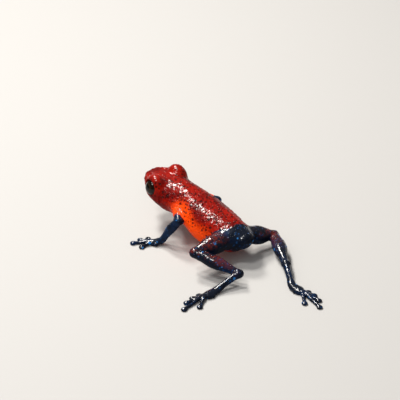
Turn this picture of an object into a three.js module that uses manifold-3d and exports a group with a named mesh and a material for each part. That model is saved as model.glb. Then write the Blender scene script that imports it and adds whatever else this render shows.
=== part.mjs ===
// A strawberry poison dart frog at life size, front raised on its forelegs, right hind leg trailing.
//
// Units are millimetres, +Z is up and the floor is z = 0. The frog looks along -Y, so its left side is +X.
// Places are given as at(forward, left, up): forward is counted from the vent towards the snout.
// The origin is the middle of the footprint, on the floor.
import * as THREE from "three";
import { mergeVertices } from "three/addons/utils/BufferGeometryUtils.js";
import Module from "manifold-3d";

const wasm = await Module();
wasm.setup();

// Driving sizes
const GAP = 0.25; // between a limb piece and what it grows from
const SNOUT = 19.8; // forward reach of the snout from the vent
const RUMP = -0.75; // rear end of the body
const NECK = 12.7; // where the head is parted from the torso
const NECK_LEAN = 0.3; // slope of that cut, forward for each unit up
const EYE_R = 1.25;
const DIGIT_R = 0.27; // half thickness of a finger or toe
const DISC_R = 0.45; // half width of the round pad at a digit's tip
const DISC_THICK = 0.24; // half thickness of that pad
const FLOOR_SINK = 0.05; // how deep the pads are pressed to give small flats
const TRUNK_SIDES = 30;
const LIMB_SIDES = 14;
const DIGIT_SIDES = 8;

// Stations along the body: forward, top, bottom and half width
const BODY_STATIONS = [
  { f: 0, top: 4.9, low: 2.5, wide: 1.45 },
  { f: 1.6, top: 5.5, low: 1.35, wide: 2.15 },
  { f: 4.2, top: 6.15, low: 0.75, wide: 3.0 },
  { f: 7.4, top: 6.75, low: 0.75, wide: 3.4 },
  { f: 10.3, top: 7.4, low: 1.9, wide: 3.0 },
  { f: 12.6, top: 7.65, low: 2.65, wide: 2.75 },
  { f: 14.6, top: 7.65, low: 2.8, wide: 3.1 },
  { f: 16.4, top: 7.6, low: 3.4, wide: 2.9 },
  { f: 17.9, top: 7.5, low: 4.1, wide: 2.25 },
  { f: 19.1, top: 7.42, low: 4.7, wide: 1.6 },
];
const NOSE_START = BODY_STATIONS.at(-1).f;
const REAR_TIP_Z = 3.9;
const SNOUT_TIP_Z = 6.1;

// Head landmarks
const EYE = { f: 16.4, l: 2.3, z: 6.45 };
const LID = { wide: 1.36, long: 1.75, high: 1.95, inward: 0.2 };
const LID_OPENING = { long: 1.22, high: 1.08, out: 2.0, sides: 18 };
const MOUTH = { corner: 14.7, cornerZ: 4.7, tipZ: 5.35, sag: 0.1, r: 0.12 };
const NOSTRIL = { f: 19.1, z: 6.45, r: 0.17 };
const TYMPANUM = { f: 14.4, z: 5.6, r: 0.46, deep: 0.08 };

// Joints of each limb, side +1 is left and -1 is right
const LIMBS = {
  left: {
    side: 1,
    shoulder: [12.3, 1.7, 5.0],
    elbow: [9.5, 4.1, 4.5],
    wrist: [11.75, 5.15, 0.9],
    handTurn: 40,
    hip: [1.9, 1.2, 3.75],
    knee: [3.3, 6.85, 3.2],
    heel: [-3.35, 4.65, 1.8],
    sole: [-2.7, 8.3, 0.5],
    footTurn: 88,
  },
  right: {
    side: -1,
    shoulder: [12.4, 1.7, 5.0],
    elbow: [10.2, 4.25, 4.2],
    wrist: [13.1, 4.6, 0.95],
    handTurn: 14,
    hip: [1.9, 1.2, 3.25],
    knee: [0.8, 6.45, 1.5],
    heel: [-5.6, 2.4, 1.35],
    sole: [-9.0, 0.1, 0.5],
    footTurn: 186,
  },
};

// Half thickness of each limb piece, from its root to its far end
const THIGH_R = [1.2, 1.38, 1.3, 1.05, 0.8];
const SHANK_R = [0.78, 0.98, 1.0, 0.8, 0.58];
const TARSUS_R = [0.56, 0.52, 0.5, 0.48];
const UPPER_ARM_R = [0.8, 0.78, 0.68, 0.6];
const FOREARM_R = [0.58, 0.72, 0.66, 0.45];

// Digits: length past the palm and angle from the palm's axis, positive towards the body's midline
const FINGERS = [
  { long: 1.75, turn: 52 },
  { long: 2.2, turn: 20 },
  { long: 3.0, turn: -8 },
  { long: 2.25, turn: -42 },
];
const TOES = [
  { long: 1.6, turn: 50 },
  { long: 2.4, turn: 28 },
  { long: 3.5, turn: 10 },
  { long: 4.8, turn: -7 },
  { long: 3.3, turn: -32 },
];
const PALM = { long: 1.25, wide: 0.72, thick: 0.42 };
const SOLE = { long: 1.7, wide: 0.8, thick: 0.42 };

const at = (f, l, z) => new THREE.Vector3(l, -f, z);

// Loft of closed rings between two end points, as one closed surface
function skin(start, rings, end) {
  const sides = rings[0].length;
  const points = [start, ...rings.flat(), end];
  const last = points.length - 1;
  const index = [];
  for (let k = 0; k < sides; k++) {
    const next = (k + 1) % sides;
    index.push(0, 1 + next, 1 + k);
    for (let i = 0; i + 1 < rings.length; i++) {
      const a = 1 + i * sides;
      const b = a + sides;
      index.push(a + k, a + next, b + k, a + next, b + next, b + k);
    }
    const a = 1 + (rings.length - 1) * sides;
    index.push(a + k, a + next, last);
  }
  const geometry = new THREE.BufferGeometry().setFromPoints(points);
  geometry.setIndex(index);
  return geometry;
}

// A solid of a closed geometry, turned right side out
function solid(geometry) {
  const bare = geometry.clone();
  bare.deleteAttribute("normal");
  bare.deleteAttribute("uv");
  const merged = mergeVertices(bare, 1e-4);
  const triVerts = new Uint32Array(merged.index.array);
  const vertProperties = new Float32Array(merged.attributes.position.array);
  const made = new wasm.Manifold(new wasm.Mesh({ numProp: 3, vertProperties, triVerts }));
  if (made.volume() > 0) return made;
  for (let i = 0; i < triVerts.length; i += 3) {
    [triVerts[i + 1], triVerts[i + 2]] = [triVerts[i + 2], triVerts[i + 1]];
  }
  return new wasm.Manifold(new wasm.Mesh({ numProp: 3, vertProperties, triVerts }));
}

const join = (solids) => solids.reduce((a, b) => a.add(b));

// A smooth curve of single values through stations, read by forward place
function track(stations, key) {
  const curve = new THREE.CatmullRomCurve3(
    stations.map((s) => new THREE.Vector3(s.f, s[key], 0)),
    false,
    "centripetal",
  );
  const table = curve.getPoints(stations.length * 24);
  return (f) => {
    const i = Math.max(1, table.findIndex((p) => p.x >= f - 1e-6));
    const [a, b] = [table[i - 1], table[i]];
    return a.y + ((b.y - a.y) * (f - a.x)) / (b.x - a.x);
  };
}

const topOf = track(BODY_STATIONS, "top");
const lowOf = track(BODY_STATIONS, "low");
const wideOf = track(BODY_STATIONS, "wide");

// Top, bottom and half width of the body at a forward place, rounded off past the end stations
function section(f) {
  const first = BODY_STATIONS[0].f;
  const last = BODY_STATIONS.at(-1).f;
  const inside = THREE.MathUtils.clamp(f, first, last);
  const past = f > last ? (f - last) / (SNOUT - last) : (first - f) / (first - RUMP);
  const round = f === inside ? 1 : Math.sqrt(Math.max(0, 1 - past * past));
  const tip = f > last ? SNOUT_TIP_Z : REAR_TIP_Z;
  const blend = f === inside ? 0 : past * past;
  const top = topOf(inside);
  const low = lowOf(inside);
  const middle = THREE.MathUtils.lerp((top + low) / 2, tip, blend);
  return { middle, high: ((top - low) / 2) * round, wide: wideOf(inside) * round };
}

// The trunk, head and torso together, with its surface pushed out by extra
function trunk(extra) {
  const places = [];
  for (let a = 82; a > 0; a -= 20) places.push(RUMP * Math.sin((a * Math.PI) / 180));
  for (let f = 0; f < NOSE_START; f += 0.85) places.push(f);
  for (let a = 0; a <= 84; a += 14) {
    places.push(NOSE_START + (SNOUT - NOSE_START) * Math.sin((a * Math.PI) / 180));
  }
  const rings = places.map((f) => {
    const { middle, high, wide } = section(f);
    return Array.from({ length: TRUNK_SIDES }, (_, k) => {
      const a = (2 * Math.PI * k) / TRUNK_SIDES;
      const l = (wide + extra) * Math.cos(a);
      const z = middle + (high + extra) * Math.sin(a);
      return at(f, l, z);
    });
  });
  return solid(skin(at(RUMP - extra, 0, REAR_TIP_Z), rings, at(SNOUT + extra, 0, SNOUT_TIP_Z)));
}

// Place on the head's left side at a forward place and height
function sidePoint(f, z) {
  const { middle, high, wide } = section(f);
  const rise = THREE.MathUtils.clamp((z - middle) / high, -1, 1);
  return at(f, wide * Math.sqrt(1 - rise * rise), z);
}

// A round limb piece along a smooth line through points, its half thickness read from radii,
// with rounded ends. flat squeezes it from top to bottom.
function limb(points, radii, form = {}) {
  const { extra = 0, sides = LIMB_SIDES, steps = 9, flat = 1, capAngles = [60, 30] } = form;
  const curve = new THREE.CatmullRomCurve3(points, false, "centripetal");
  const radiusAt = (t) => {
    const s = t * (radii.length - 1);
    const i = Math.min(radii.length - 2, Math.floor(s));
    const blend = THREE.MathUtils.smoothstep(s - i, 0, 1);
    return THREE.MathUtils.lerp(radii[i], radii[i + 1], blend) + extra;
  };
  const ring = (t, grow, shift) => {
    const centre = curve.getPointAt(t);
    const along = curve.getTangentAt(t);
    const across = new THREE.Vector3().crossVectors(along, new THREE.Vector3(0, 0, 1)).normalize();
    const over = new THREE.Vector3().crossVectors(across, along);
    const r = radiusAt(t);
    return Array.from({ length: sides }, (_, k) => {
      const a = (2 * Math.PI * k) / sides;
      return centre
        .clone()
        .addScaledVector(along, shift * r)
        .addScaledVector(across, r * grow * Math.cos(a))
        .addScaledVector(over, r * grow * flat * Math.sin(a));
    });
  };
  const cap = capAngles.map((a) => (a * Math.PI) / 180);
  const rings = [
    ...cap.map((a) => ring(0, Math.cos(a), -Math.sin(a))),
    ...Array.from({ length: steps + 1 }, (_, i) => ring(i / steps, 1, 0)),
    ...cap.reverse().map((a) => ring(1, Math.cos(a), Math.sin(a))),
  ];
  const start = points[0].clone().addScaledVector(curve.getTangentAt(0), -radiusAt(0));
  const end = points.at(-1).clone().addScaledVector(curve.getTangentAt(1), radiusAt(1));
  return solid(skin(start, rings, end));
}

const ball = (centre, r, scale = [1, 1, 1], detail = 14) =>
  solid(
    new THREE.SphereGeometry(r, detail * 2, detail)
      .rotateX(Math.PI / 2)
      .scale(...scale)
      .translate(centre.x, centre.y, centre.z),
  );

// A half space below a level, as a wide slab
function below(level) {
  return solid(new THREE.BoxGeometry(80, 80, 10).translate(0, 0, level - 5));
}

// The largest closed body of a solid
const largest = (made) =>
  made.decompose().reduce((a, b) => (a.volume() >= b.volume() ? a : b));

// One finger or toe: a thin tube from the palm that ends in a flat round pad
function digit(root, turn, long) {
  const radians = (turn * Math.PI) / 180;
  const way = at(Math.cos(radians), Math.sin(radians), 0);
  const level = DIGIT_R - FLOOR_SINK;
  const on = (share, z) => root.clone().addScaledVector(way, long * share).setZ(z);
  const line = [root.clone(), on(0.35, level + 0.22), on(0.7, level + 0.05), on(0.97, level)];
  const shaft = limb(line, [DIGIT_R * 1.1, DIGIT_R, DIGIT_R * 1.06, DIGIT_R * 0.92], {
    sides: DIGIT_SIDES,
    steps: 4,
    capAngles: [40],
  });
  const padScale = [1, 1, DISC_THICK / DISC_R];
  const pad = ball(on(1, DISC_THICK - FLOOR_SINK), DISC_R, padScale, 4);
  return shaft.add(pad);
}

// A palm or sole with its digits, pressed flat on the floor
function paw(from, root, turn, side, digits, form) {
  const radians = (turn * Math.PI) / 180;
  const way = at(Math.cos(radians), side * Math.sin(radians), 0);
  const low = form.thick * form.wide - FLOOR_SINK;
  const front = root.clone().addScaledVector(way, form.long).setZ(low);
  const back = root.clone().lerp(from, 0.12);
  const palm = limb([back, root, front], [form.wide * 0.62, form.wide * 0.85, form.wide], {
    steps: 4,
    flat: form.thick / form.wide + 0.12,
    sides: 10,
    capAngles: [45],
  });
  const spread = new THREE.Vector3().crossVectors(way, new THREE.Vector3(0, 0, 1));
  const made = digits.map(({ long, turn: own }, i) => {
    const off = (i / (digits.length - 1) - 0.5) * form.wide * 1.5 * side;
    const start = front.clone().addScaledVector(way, -0.35).addScaledVector(spread, -off);
    start.z = DIGIT_R + 0.02;
    return digit(start, side * (turn - own), long + 0.35);
  });
  return join([palm, ...made]).subtract(below(0));
}

// The forms of one limb pair, each a function of extra thickness
function limbForms(joints) {
  const p = (name) => at(joints[name][0], joints.side * joints[name][1], joints[name][2]);
  const between = (a, b, share, lift) => {
    const middle = p(a).lerp(p(b), share);
    middle.z += lift;
    return middle;
  };
  return {
    upper_arm: (extra) =>
      limb([p("shoulder"), between("shoulder", "elbow", 0.5, 0.08), p("elbow")], UPPER_ARM_R, { extra }),
    forearm: (extra) =>
      limb([p("elbow"), between("elbow", "wrist", 0.5, 0.1), p("wrist")], FOREARM_R, { extra }),
    thigh: (extra) =>
      limb([p("hip"), between("hip", "knee", 0.5, 0.12), p("knee")], THIGH_R, { extra }),
    shank: (extra) =>
      limb([p("knee"), between("knee", "heel", 0.5, 0.1), p("heel")], SHANK_R, { extra }),
    tarsus: (extra) =>
      limb([p("heel"), between("heel", "sole", 0.5, 0.06), p("sole")], TARSUS_R, { extra, steps: 6 }),
    hand: () =>
      paw(p("elbow"), p("wrist"), joints.handTurn, joints.side, FINGERS, PALM),
    foot: () => paw(p("heel"), p("sole"), joints.footTurn, joints.side, TOES, SOLE),
  };
}

// The lids, mouth line, nostrils and ear discs of the head, cut and raised on the trunk
function headDetails(trunkSolid) {
  let made = trunkSolid;
  for (const side of [1, -1]) {
    const eye = at(EYE.f, side * EYE.l, EYE.z);
    const brow = at(EYE.f - 0.1, side * (EYE.l - LID.inward), EYE.z);
    made = made.add(ball(brow, 1, [LID.wide, LID.long, LID.high], 9));
    made = made.subtract(lidOpening(eye, side));
    made = made.subtract(ball(eye, EYE_R + GAP * 0.8, [1, 1, 1], 9));
    const nostril = sidePoint(NOSTRIL.f, NOSTRIL.z);
    made = made.subtract(ball(nostril.setX(side * nostril.x), NOSTRIL.r, [1, 1, 0.8], 4));
    const drum = sidePoint(TYMPANUM.f, TYMPANUM.z);
    const dish = (TYMPANUM.r ** 2 + TYMPANUM.deep ** 2) / (2 * TYMPANUM.deep);
    const out = drum.x + dish - TYMPANUM.deep;
    made = made.subtract(ball(new THREE.Vector3(side * out, drum.y, drum.z), dish, [1, 1, 1], 16));
  }
  return made.subtract(mouthLine());
}

// The hole between the lids, a short elliptical rod that runs outward from the eye
function lidOpening(eye, side) {
  const rod = new THREE.CylinderGeometry(1, 1, LID_OPENING.out, LID_OPENING.sides);
  rod.rotateZ(Math.PI / 2);
  rod.scale(1, LID_OPENING.long, LID_OPENING.high);
  rod.rotateY((side * -12 * Math.PI) / 180);
  rod.translate(eye.x + (side * LID_OPENING.out) / 2, eye.y, eye.z);
  return solid(rod);
}

// The mouth line, a thin round cut that follows the head's surface from corner to corner
function mouthLine() {
  const half = [];
  for (let i = 0; i <= 9; i++) {
    const t = i / 9;
    const f = THREE.MathUtils.lerp(MOUTH.corner, SNOUT - 0.12, Math.sin((t * Math.PI) / 2));
    const z =
      THREE.MathUtils.lerp(MOUTH.cornerZ, MOUTH.tipZ, t) - MOUTH.sag * Math.sin(t * Math.PI);
    half.push(sidePoint(f, z));
  }
  const other = half.slice(0, -1).map((p) => new THREE.Vector3(-p.x, p.y, p.z)).reverse();
  const line = [...half, at(SNOUT, 0, MOUTH.tipZ), ...other];
  return limb(line, [MOUTH.r, MOUTH.r], { sides: 5, steps: 34, capAngles: [45] });
}

// A slanted slab at the neck that parts the head from the torso
function neckSlab() {
  const slab = new THREE.BoxGeometry(20, GAP, 20);
  slab.rotateX(Math.atan(NECK_LEAN));
  slab.translate(0, -NECK, 5.3);
  return solid(slab);
}

// The finish of each sub-part: colour, roughness
const FINISHES = {
  red_skin: new THREE.MeshStandardMaterial({ color: 0xb3200a, roughness: 0.35, metalness: 0 }),
  blue_skin: new THREE.MeshStandardMaterial({ color: 0x14283c, roughness: 0.38, metalness: 0 }),
  eye: new THREE.MeshStandardMaterial({ color: 0x0a0706, roughness: 0.08, metalness: 0 }),
};

const pieces = new Map();
const keep = (name, finish, made) => pieces.set(name, { finish, made: largest(made) });

const slimTrunk = trunk(0);
const wideTrunk = trunk(GAP);
const whole = headDetails(slimTrunk).subtract(neckSlab()).decompose();
const bySize = whole.sort((a, b) => b.volume() - a.volume());
keep("torso", "red_skin", bySize[0]);
keep("head", "red_skin", bySize[1]);
for (const [name, joints] of Object.entries(LIMBS)) {
  const form = limbForms(joints);
  const eye = at(EYE.f, joints.side * EYE.l, EYE.z);
  keep(`eye_${name}`, "eye", ball(eye, EYE_R, [1, 1, 1], 9));
  keep(`upper_arm_${name}`, "red_skin", form.upper_arm(0).subtract(wideTrunk));
  keep(`forearm_${name}`, "blue_skin", form.forearm(0).subtract(form.upper_arm(GAP)));
  keep(`hand_${name}`, "blue_skin", form.hand().subtract(form.forearm(GAP)));
  keep(`thigh_${name}`, "blue_skin", form.thigh(0).subtract(wideTrunk));
  keep(`shank_${name}`, "blue_skin", form.shank(0).subtract(form.thigh(GAP)));
  keep(`tarsus_${name}`, "blue_skin", form.tarsus(0).subtract(form.shank(GAP)).subtract(below(0)));
  keep(`foot_${name}`, "blue_skin", form.foot().subtract(form.tarsus(GAP)));
}

// The node's surface as a three.js geometry
function geometryOf(made) {
  const { vertProperties, triVerts } = made.getMesh();
  const geometry = new THREE.BufferGeometry();
  geometry.setAttribute("position", new THREE.BufferAttribute(new Float32Array(vertProperties), 3));
  geometry.setIndex(new THREE.BufferAttribute(new Uint32Array(triVerts), 1));
  geometry.computeVertexNormals();
  return geometry;
}

const footprint = new THREE.Box3();
for (const [name, { finish, made }] of pieces) {
  const geometry = geometryOf(made);
  const mesh = new THREE.Mesh(geometry, FINISHES[finish]);
  mesh.name = name;
  pieces.get(name).mesh = mesh;
  geometry.computeBoundingBox();
  footprint.union(geometry.boundingBox);
}

const frog = new THREE.Group();
const centre = footprint.getCenter(new THREE.Vector3());
for (const { mesh } of pieces.values()) {
  mesh.position.set(-centre.x, -centre.y, -footprint.min.z);
  frog.add(mesh);
}

export default frog;
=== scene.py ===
"""Looks of a strawberry poison dart frog at life size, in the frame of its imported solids.

Shapes are worked out in millimetres in the frog's own axes: forward from the vent to the snout,
left, and up from the floor. They turn into metres in the frame only when a mesh is made.
"""

import logging
import math
from collections.abc import Sequence
from dataclasses import dataclass, field
from enum import Enum
from typing import Any

import bpy
import numpy as np
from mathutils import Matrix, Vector


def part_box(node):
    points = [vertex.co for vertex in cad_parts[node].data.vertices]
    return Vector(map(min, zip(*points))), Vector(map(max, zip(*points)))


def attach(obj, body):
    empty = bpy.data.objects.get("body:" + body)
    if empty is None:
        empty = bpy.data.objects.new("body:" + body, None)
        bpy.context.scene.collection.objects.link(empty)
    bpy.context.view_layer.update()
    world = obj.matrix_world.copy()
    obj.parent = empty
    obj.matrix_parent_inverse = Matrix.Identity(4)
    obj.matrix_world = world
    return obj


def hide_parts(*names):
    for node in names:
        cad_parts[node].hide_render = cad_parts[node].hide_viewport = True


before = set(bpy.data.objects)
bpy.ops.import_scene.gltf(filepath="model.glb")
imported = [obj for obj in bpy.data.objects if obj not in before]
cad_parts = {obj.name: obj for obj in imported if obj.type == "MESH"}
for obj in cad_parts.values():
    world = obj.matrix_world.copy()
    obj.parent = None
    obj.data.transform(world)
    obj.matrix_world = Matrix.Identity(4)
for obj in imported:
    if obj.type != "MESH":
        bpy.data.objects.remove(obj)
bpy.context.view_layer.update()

LOG = logging.getLogger("frog")
MM = 0.001
BODY = "root"
GAZE = "gaze"
LEAST_SLOPE = 0.001
FAR_OFF = 9.0

Point = tuple[float, float, float]
Sizes = tuple[float, float, float]
Array = np.ndarray


class Side(Enum):
    """The two sides of the frog, by the sign of the left axis."""

    LEFT = 1
    RIGHT = -1

    @property
    def label(self) -> str:
        """The side's word in the names of pieces and nodes."""
        return self.name.lower()


class Zone(Enum):
    """Numbers kept on the skin's points, by what they steer."""

    LIMB = "limb"
    FLANK = "flank"
    SPOTTY = "spotty"
    WARM = "warm"
    DARK = "dark"
    GRANULAR = "granular"
    WET = "wet"


# Helpers on arrays of points


def smooth_step(low: float, high: float, value: Array) -> Array:
    """Eases from 0 at low to 1 at high.

    Args:
        low: Value that gives 0.
        high: Value that gives 1.
        value: Numbers to ease.

    Returns:
        Numbers from 0 to 1.
    """
    t = np.clip((value - low) / (high - low), 0.0, 1.0)
    return t * t * (3.0 - 2.0 * t)


def join_smooth(a: Array, b: Array, soft: float) -> Array:
    """Union of two distance fields with a soft inner corner.

    Args:
        a: First field.
        b: Second field.
        soft: Width of the blend, in millimetres.

    Returns:
        The joined field.
    """
    near = np.maximum(soft - np.abs(a - b), 0.0) / soft
    return np.minimum(a, b) - near * near * soft * 0.25


def cut_smooth(a: Array, b: Array, soft: float) -> Array:
    """Field a with b taken out of it, the edge rounded over soft millimetres."""
    return -join_smooth(-a, b, soft)


def bump(value: Array, centre: float, width: float) -> Array:
    """A bell that is 1 at centre and falls off over width."""
    return np.exp(-(((value - centre) / width) ** 2))


class LatticeNoise:
    """Smooth seeded noise from -1 to 1 over space."""

    SIZE = 32

    def __init__(self, wavelength: float, seed: int) -> None:
        """Draws the lattice.

        Args:
            wavelength: Distance between lattice points, in millimetres.
            seed: Seed of the draw.
        """
        self.wavelength = wavelength
        shape = (self.SIZE,) * 3
        self.values = np.random.default_rng(seed).uniform(-1.0, 1.0, shape)

    def __call__(self, points: Array) -> Array:
        """Reads the noise.

        Args:
            points: Places in millimetres, one row each.

        Returns:
            One number for each place.
        """
        scaled = points / self.wavelength
        base = np.floor(scaled).astype(int)
        t = scaled - base
        t = t * t * (3.0 - 2.0 * t)
        total = np.zeros(len(points))
        for corner in np.ndindex(2, 2, 2):
            weight = np.prod(np.where(corner, t, 1.0 - t), axis=1)
            i, j, k = ((base + corner) % self.SIZE).T
            total += weight * self.values[i, j, k]
        return total


@dataclass(frozen=True)
class Rough:
    """One layer of noise: distance between its lattice points, its height, and its seed."""

    wavelength: float
    height: float
    seed: int

    def read(self, points: Array) -> Array:
        """The layer's height at places, above or below 0."""
        return LatticeNoise(self.wavelength, self.seed)(points) * self.height


class Pebbles:
    """Close-set round lumps over space, seeded."""

    SIZE = 64
    REACH = 0.62

    def __init__(self, spacing: float, seed: int) -> None:
        """Draws one lump's middle in each cell.

        Args:
            spacing: Distance between lumps, in millimetres.
            seed: Seed of the draw.
        """
        self.spacing = spacing
        shape = (self.SIZE,) * 3 + (3,)
        self.middles = np.random.default_rng(seed).uniform(0.1, 0.9, shape)

    def __call__(self, points: Array) -> Array:
        """Reads the lumps.

        Args:
            points: Places in millimetres, one row each.

        Returns:
            Height at each place: 1 in the middle of a lump, 0 between lumps.
        """
        scaled = points / self.spacing
        base = np.floor(scaled).astype(int)
        nearest = np.full(len(points), np.inf)
        for step in np.ndindex(3, 3, 3):
            cell = base + np.array(step) - 1
            i, j, k = (cell % self.SIZE).T
            gap = np.linalg.norm(cell + self.middles[i, j, k] - scaled, axis=1)
            nearest = np.minimum(nearest, gap)
        return np.clip(1.0 - (nearest / self.REACH) ** 2, 0.0, 1.0)


class Track:
    """A smooth curve through given values, read by place."""

    SAMPLES = 600

    def __init__(self, places: Sequence[float], values: Sequence[float]) -> None:
        """Samples the curve once.

        Args:
            places: Rising places of the given values.
            values: The given values.
        """
        x = np.array(places, float)
        y = np.array(values, float)
        slope = np.gradient(y, x)
        self.places = np.linspace(x[0], x[-1], self.SAMPLES)
        i = np.clip(np.searchsorted(x, self.places) - 1, 0, len(x) - 2)
        step = x[i + 1] - x[i]
        t = (self.places - x[i]) / step
        self.values = (
            (2 * t**3 - 3 * t**2 + 1) * y[i]
            + (t**3 - 2 * t**2 + t) * step * slope[i]
            + (3 * t**2 - 2 * t**3) * y[i + 1]
            + (t**3 - t**2) * step * slope[i + 1]
        )

    def __call__(self, place: Array) -> Array:
        """Values at the places, held level past both ends."""
        return np.interp(place, self.places, self.values)


class Grid:
    """A block of sample places with one distance at each, all on one lattice."""

    STEP = 0.104
    FAR = 10.0

    def __init__(self, low: Sequence[float], high: Sequence[float]) -> None:
        """Makes an empty grid.

        Args:
            low: Lowest corner, in millimetres.
            high: Highest corner, in millimetres.
        """
        self.first = np.floor(np.array(low) / self.STEP).astype(int)
        self.last = np.ceil(np.array(high) / self.STEP).astype(int)
        self.values = np.full(self.last - self.first + 1, self.FAR, np.float32)

    @property
    def axes(self) -> tuple[Array, Array, Array]:
        """The places that the grid samples.

        Returns:
            Open arrays of the forward, left and up places, in millimetres.
        """
        ranges = [np.arange(a, b + 1) * self.STEP for a, b in zip(self.first, self.last)]
        f, l, z = np.ix_(*ranges)
        return f, l, z

    def _overlap(self, other: "Grid") -> tuple[tuple[slice, ...], tuple[slice, ...]]:
        """Finds where two grids share their places.

        Args:
            other: The other grid.

        Returns:
            Slices of the shared block in this grid and in the other one.
        """
        low = np.maximum(other.first, self.first)
        high = np.minimum(other.last, self.last) + 1
        mine = tuple(slice(a, b) for a, b in zip(low - self.first, high - self.first))
        theirs = tuple(slice(a, b) for a, b in zip(low - other.first, high - other.first))
        return mine, theirs

    def merge(self, other: "Grid", soft: float) -> None:
        """Joins a smaller grid into this one.

        Args:
            other: The grid to join.
            soft: Width of the blend, in millimetres.
        """
        mine, theirs = self._overlap(other)
        self.values[mine] = join_smooth(self.values[mine], other.values[theirs], soft)

    def carve(self, other: "Grid", soft: float) -> None:
        """Takes a smaller grid's form out of this one.

        Args:
            other: The grid to take out.
            soft: Width of the rounded edge, in millimetres.
        """
        mine, theirs = self._overlap(other)
        self.values[mine] = cut_smooth(self.values[mine], other.values[theirs], soft)


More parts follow.
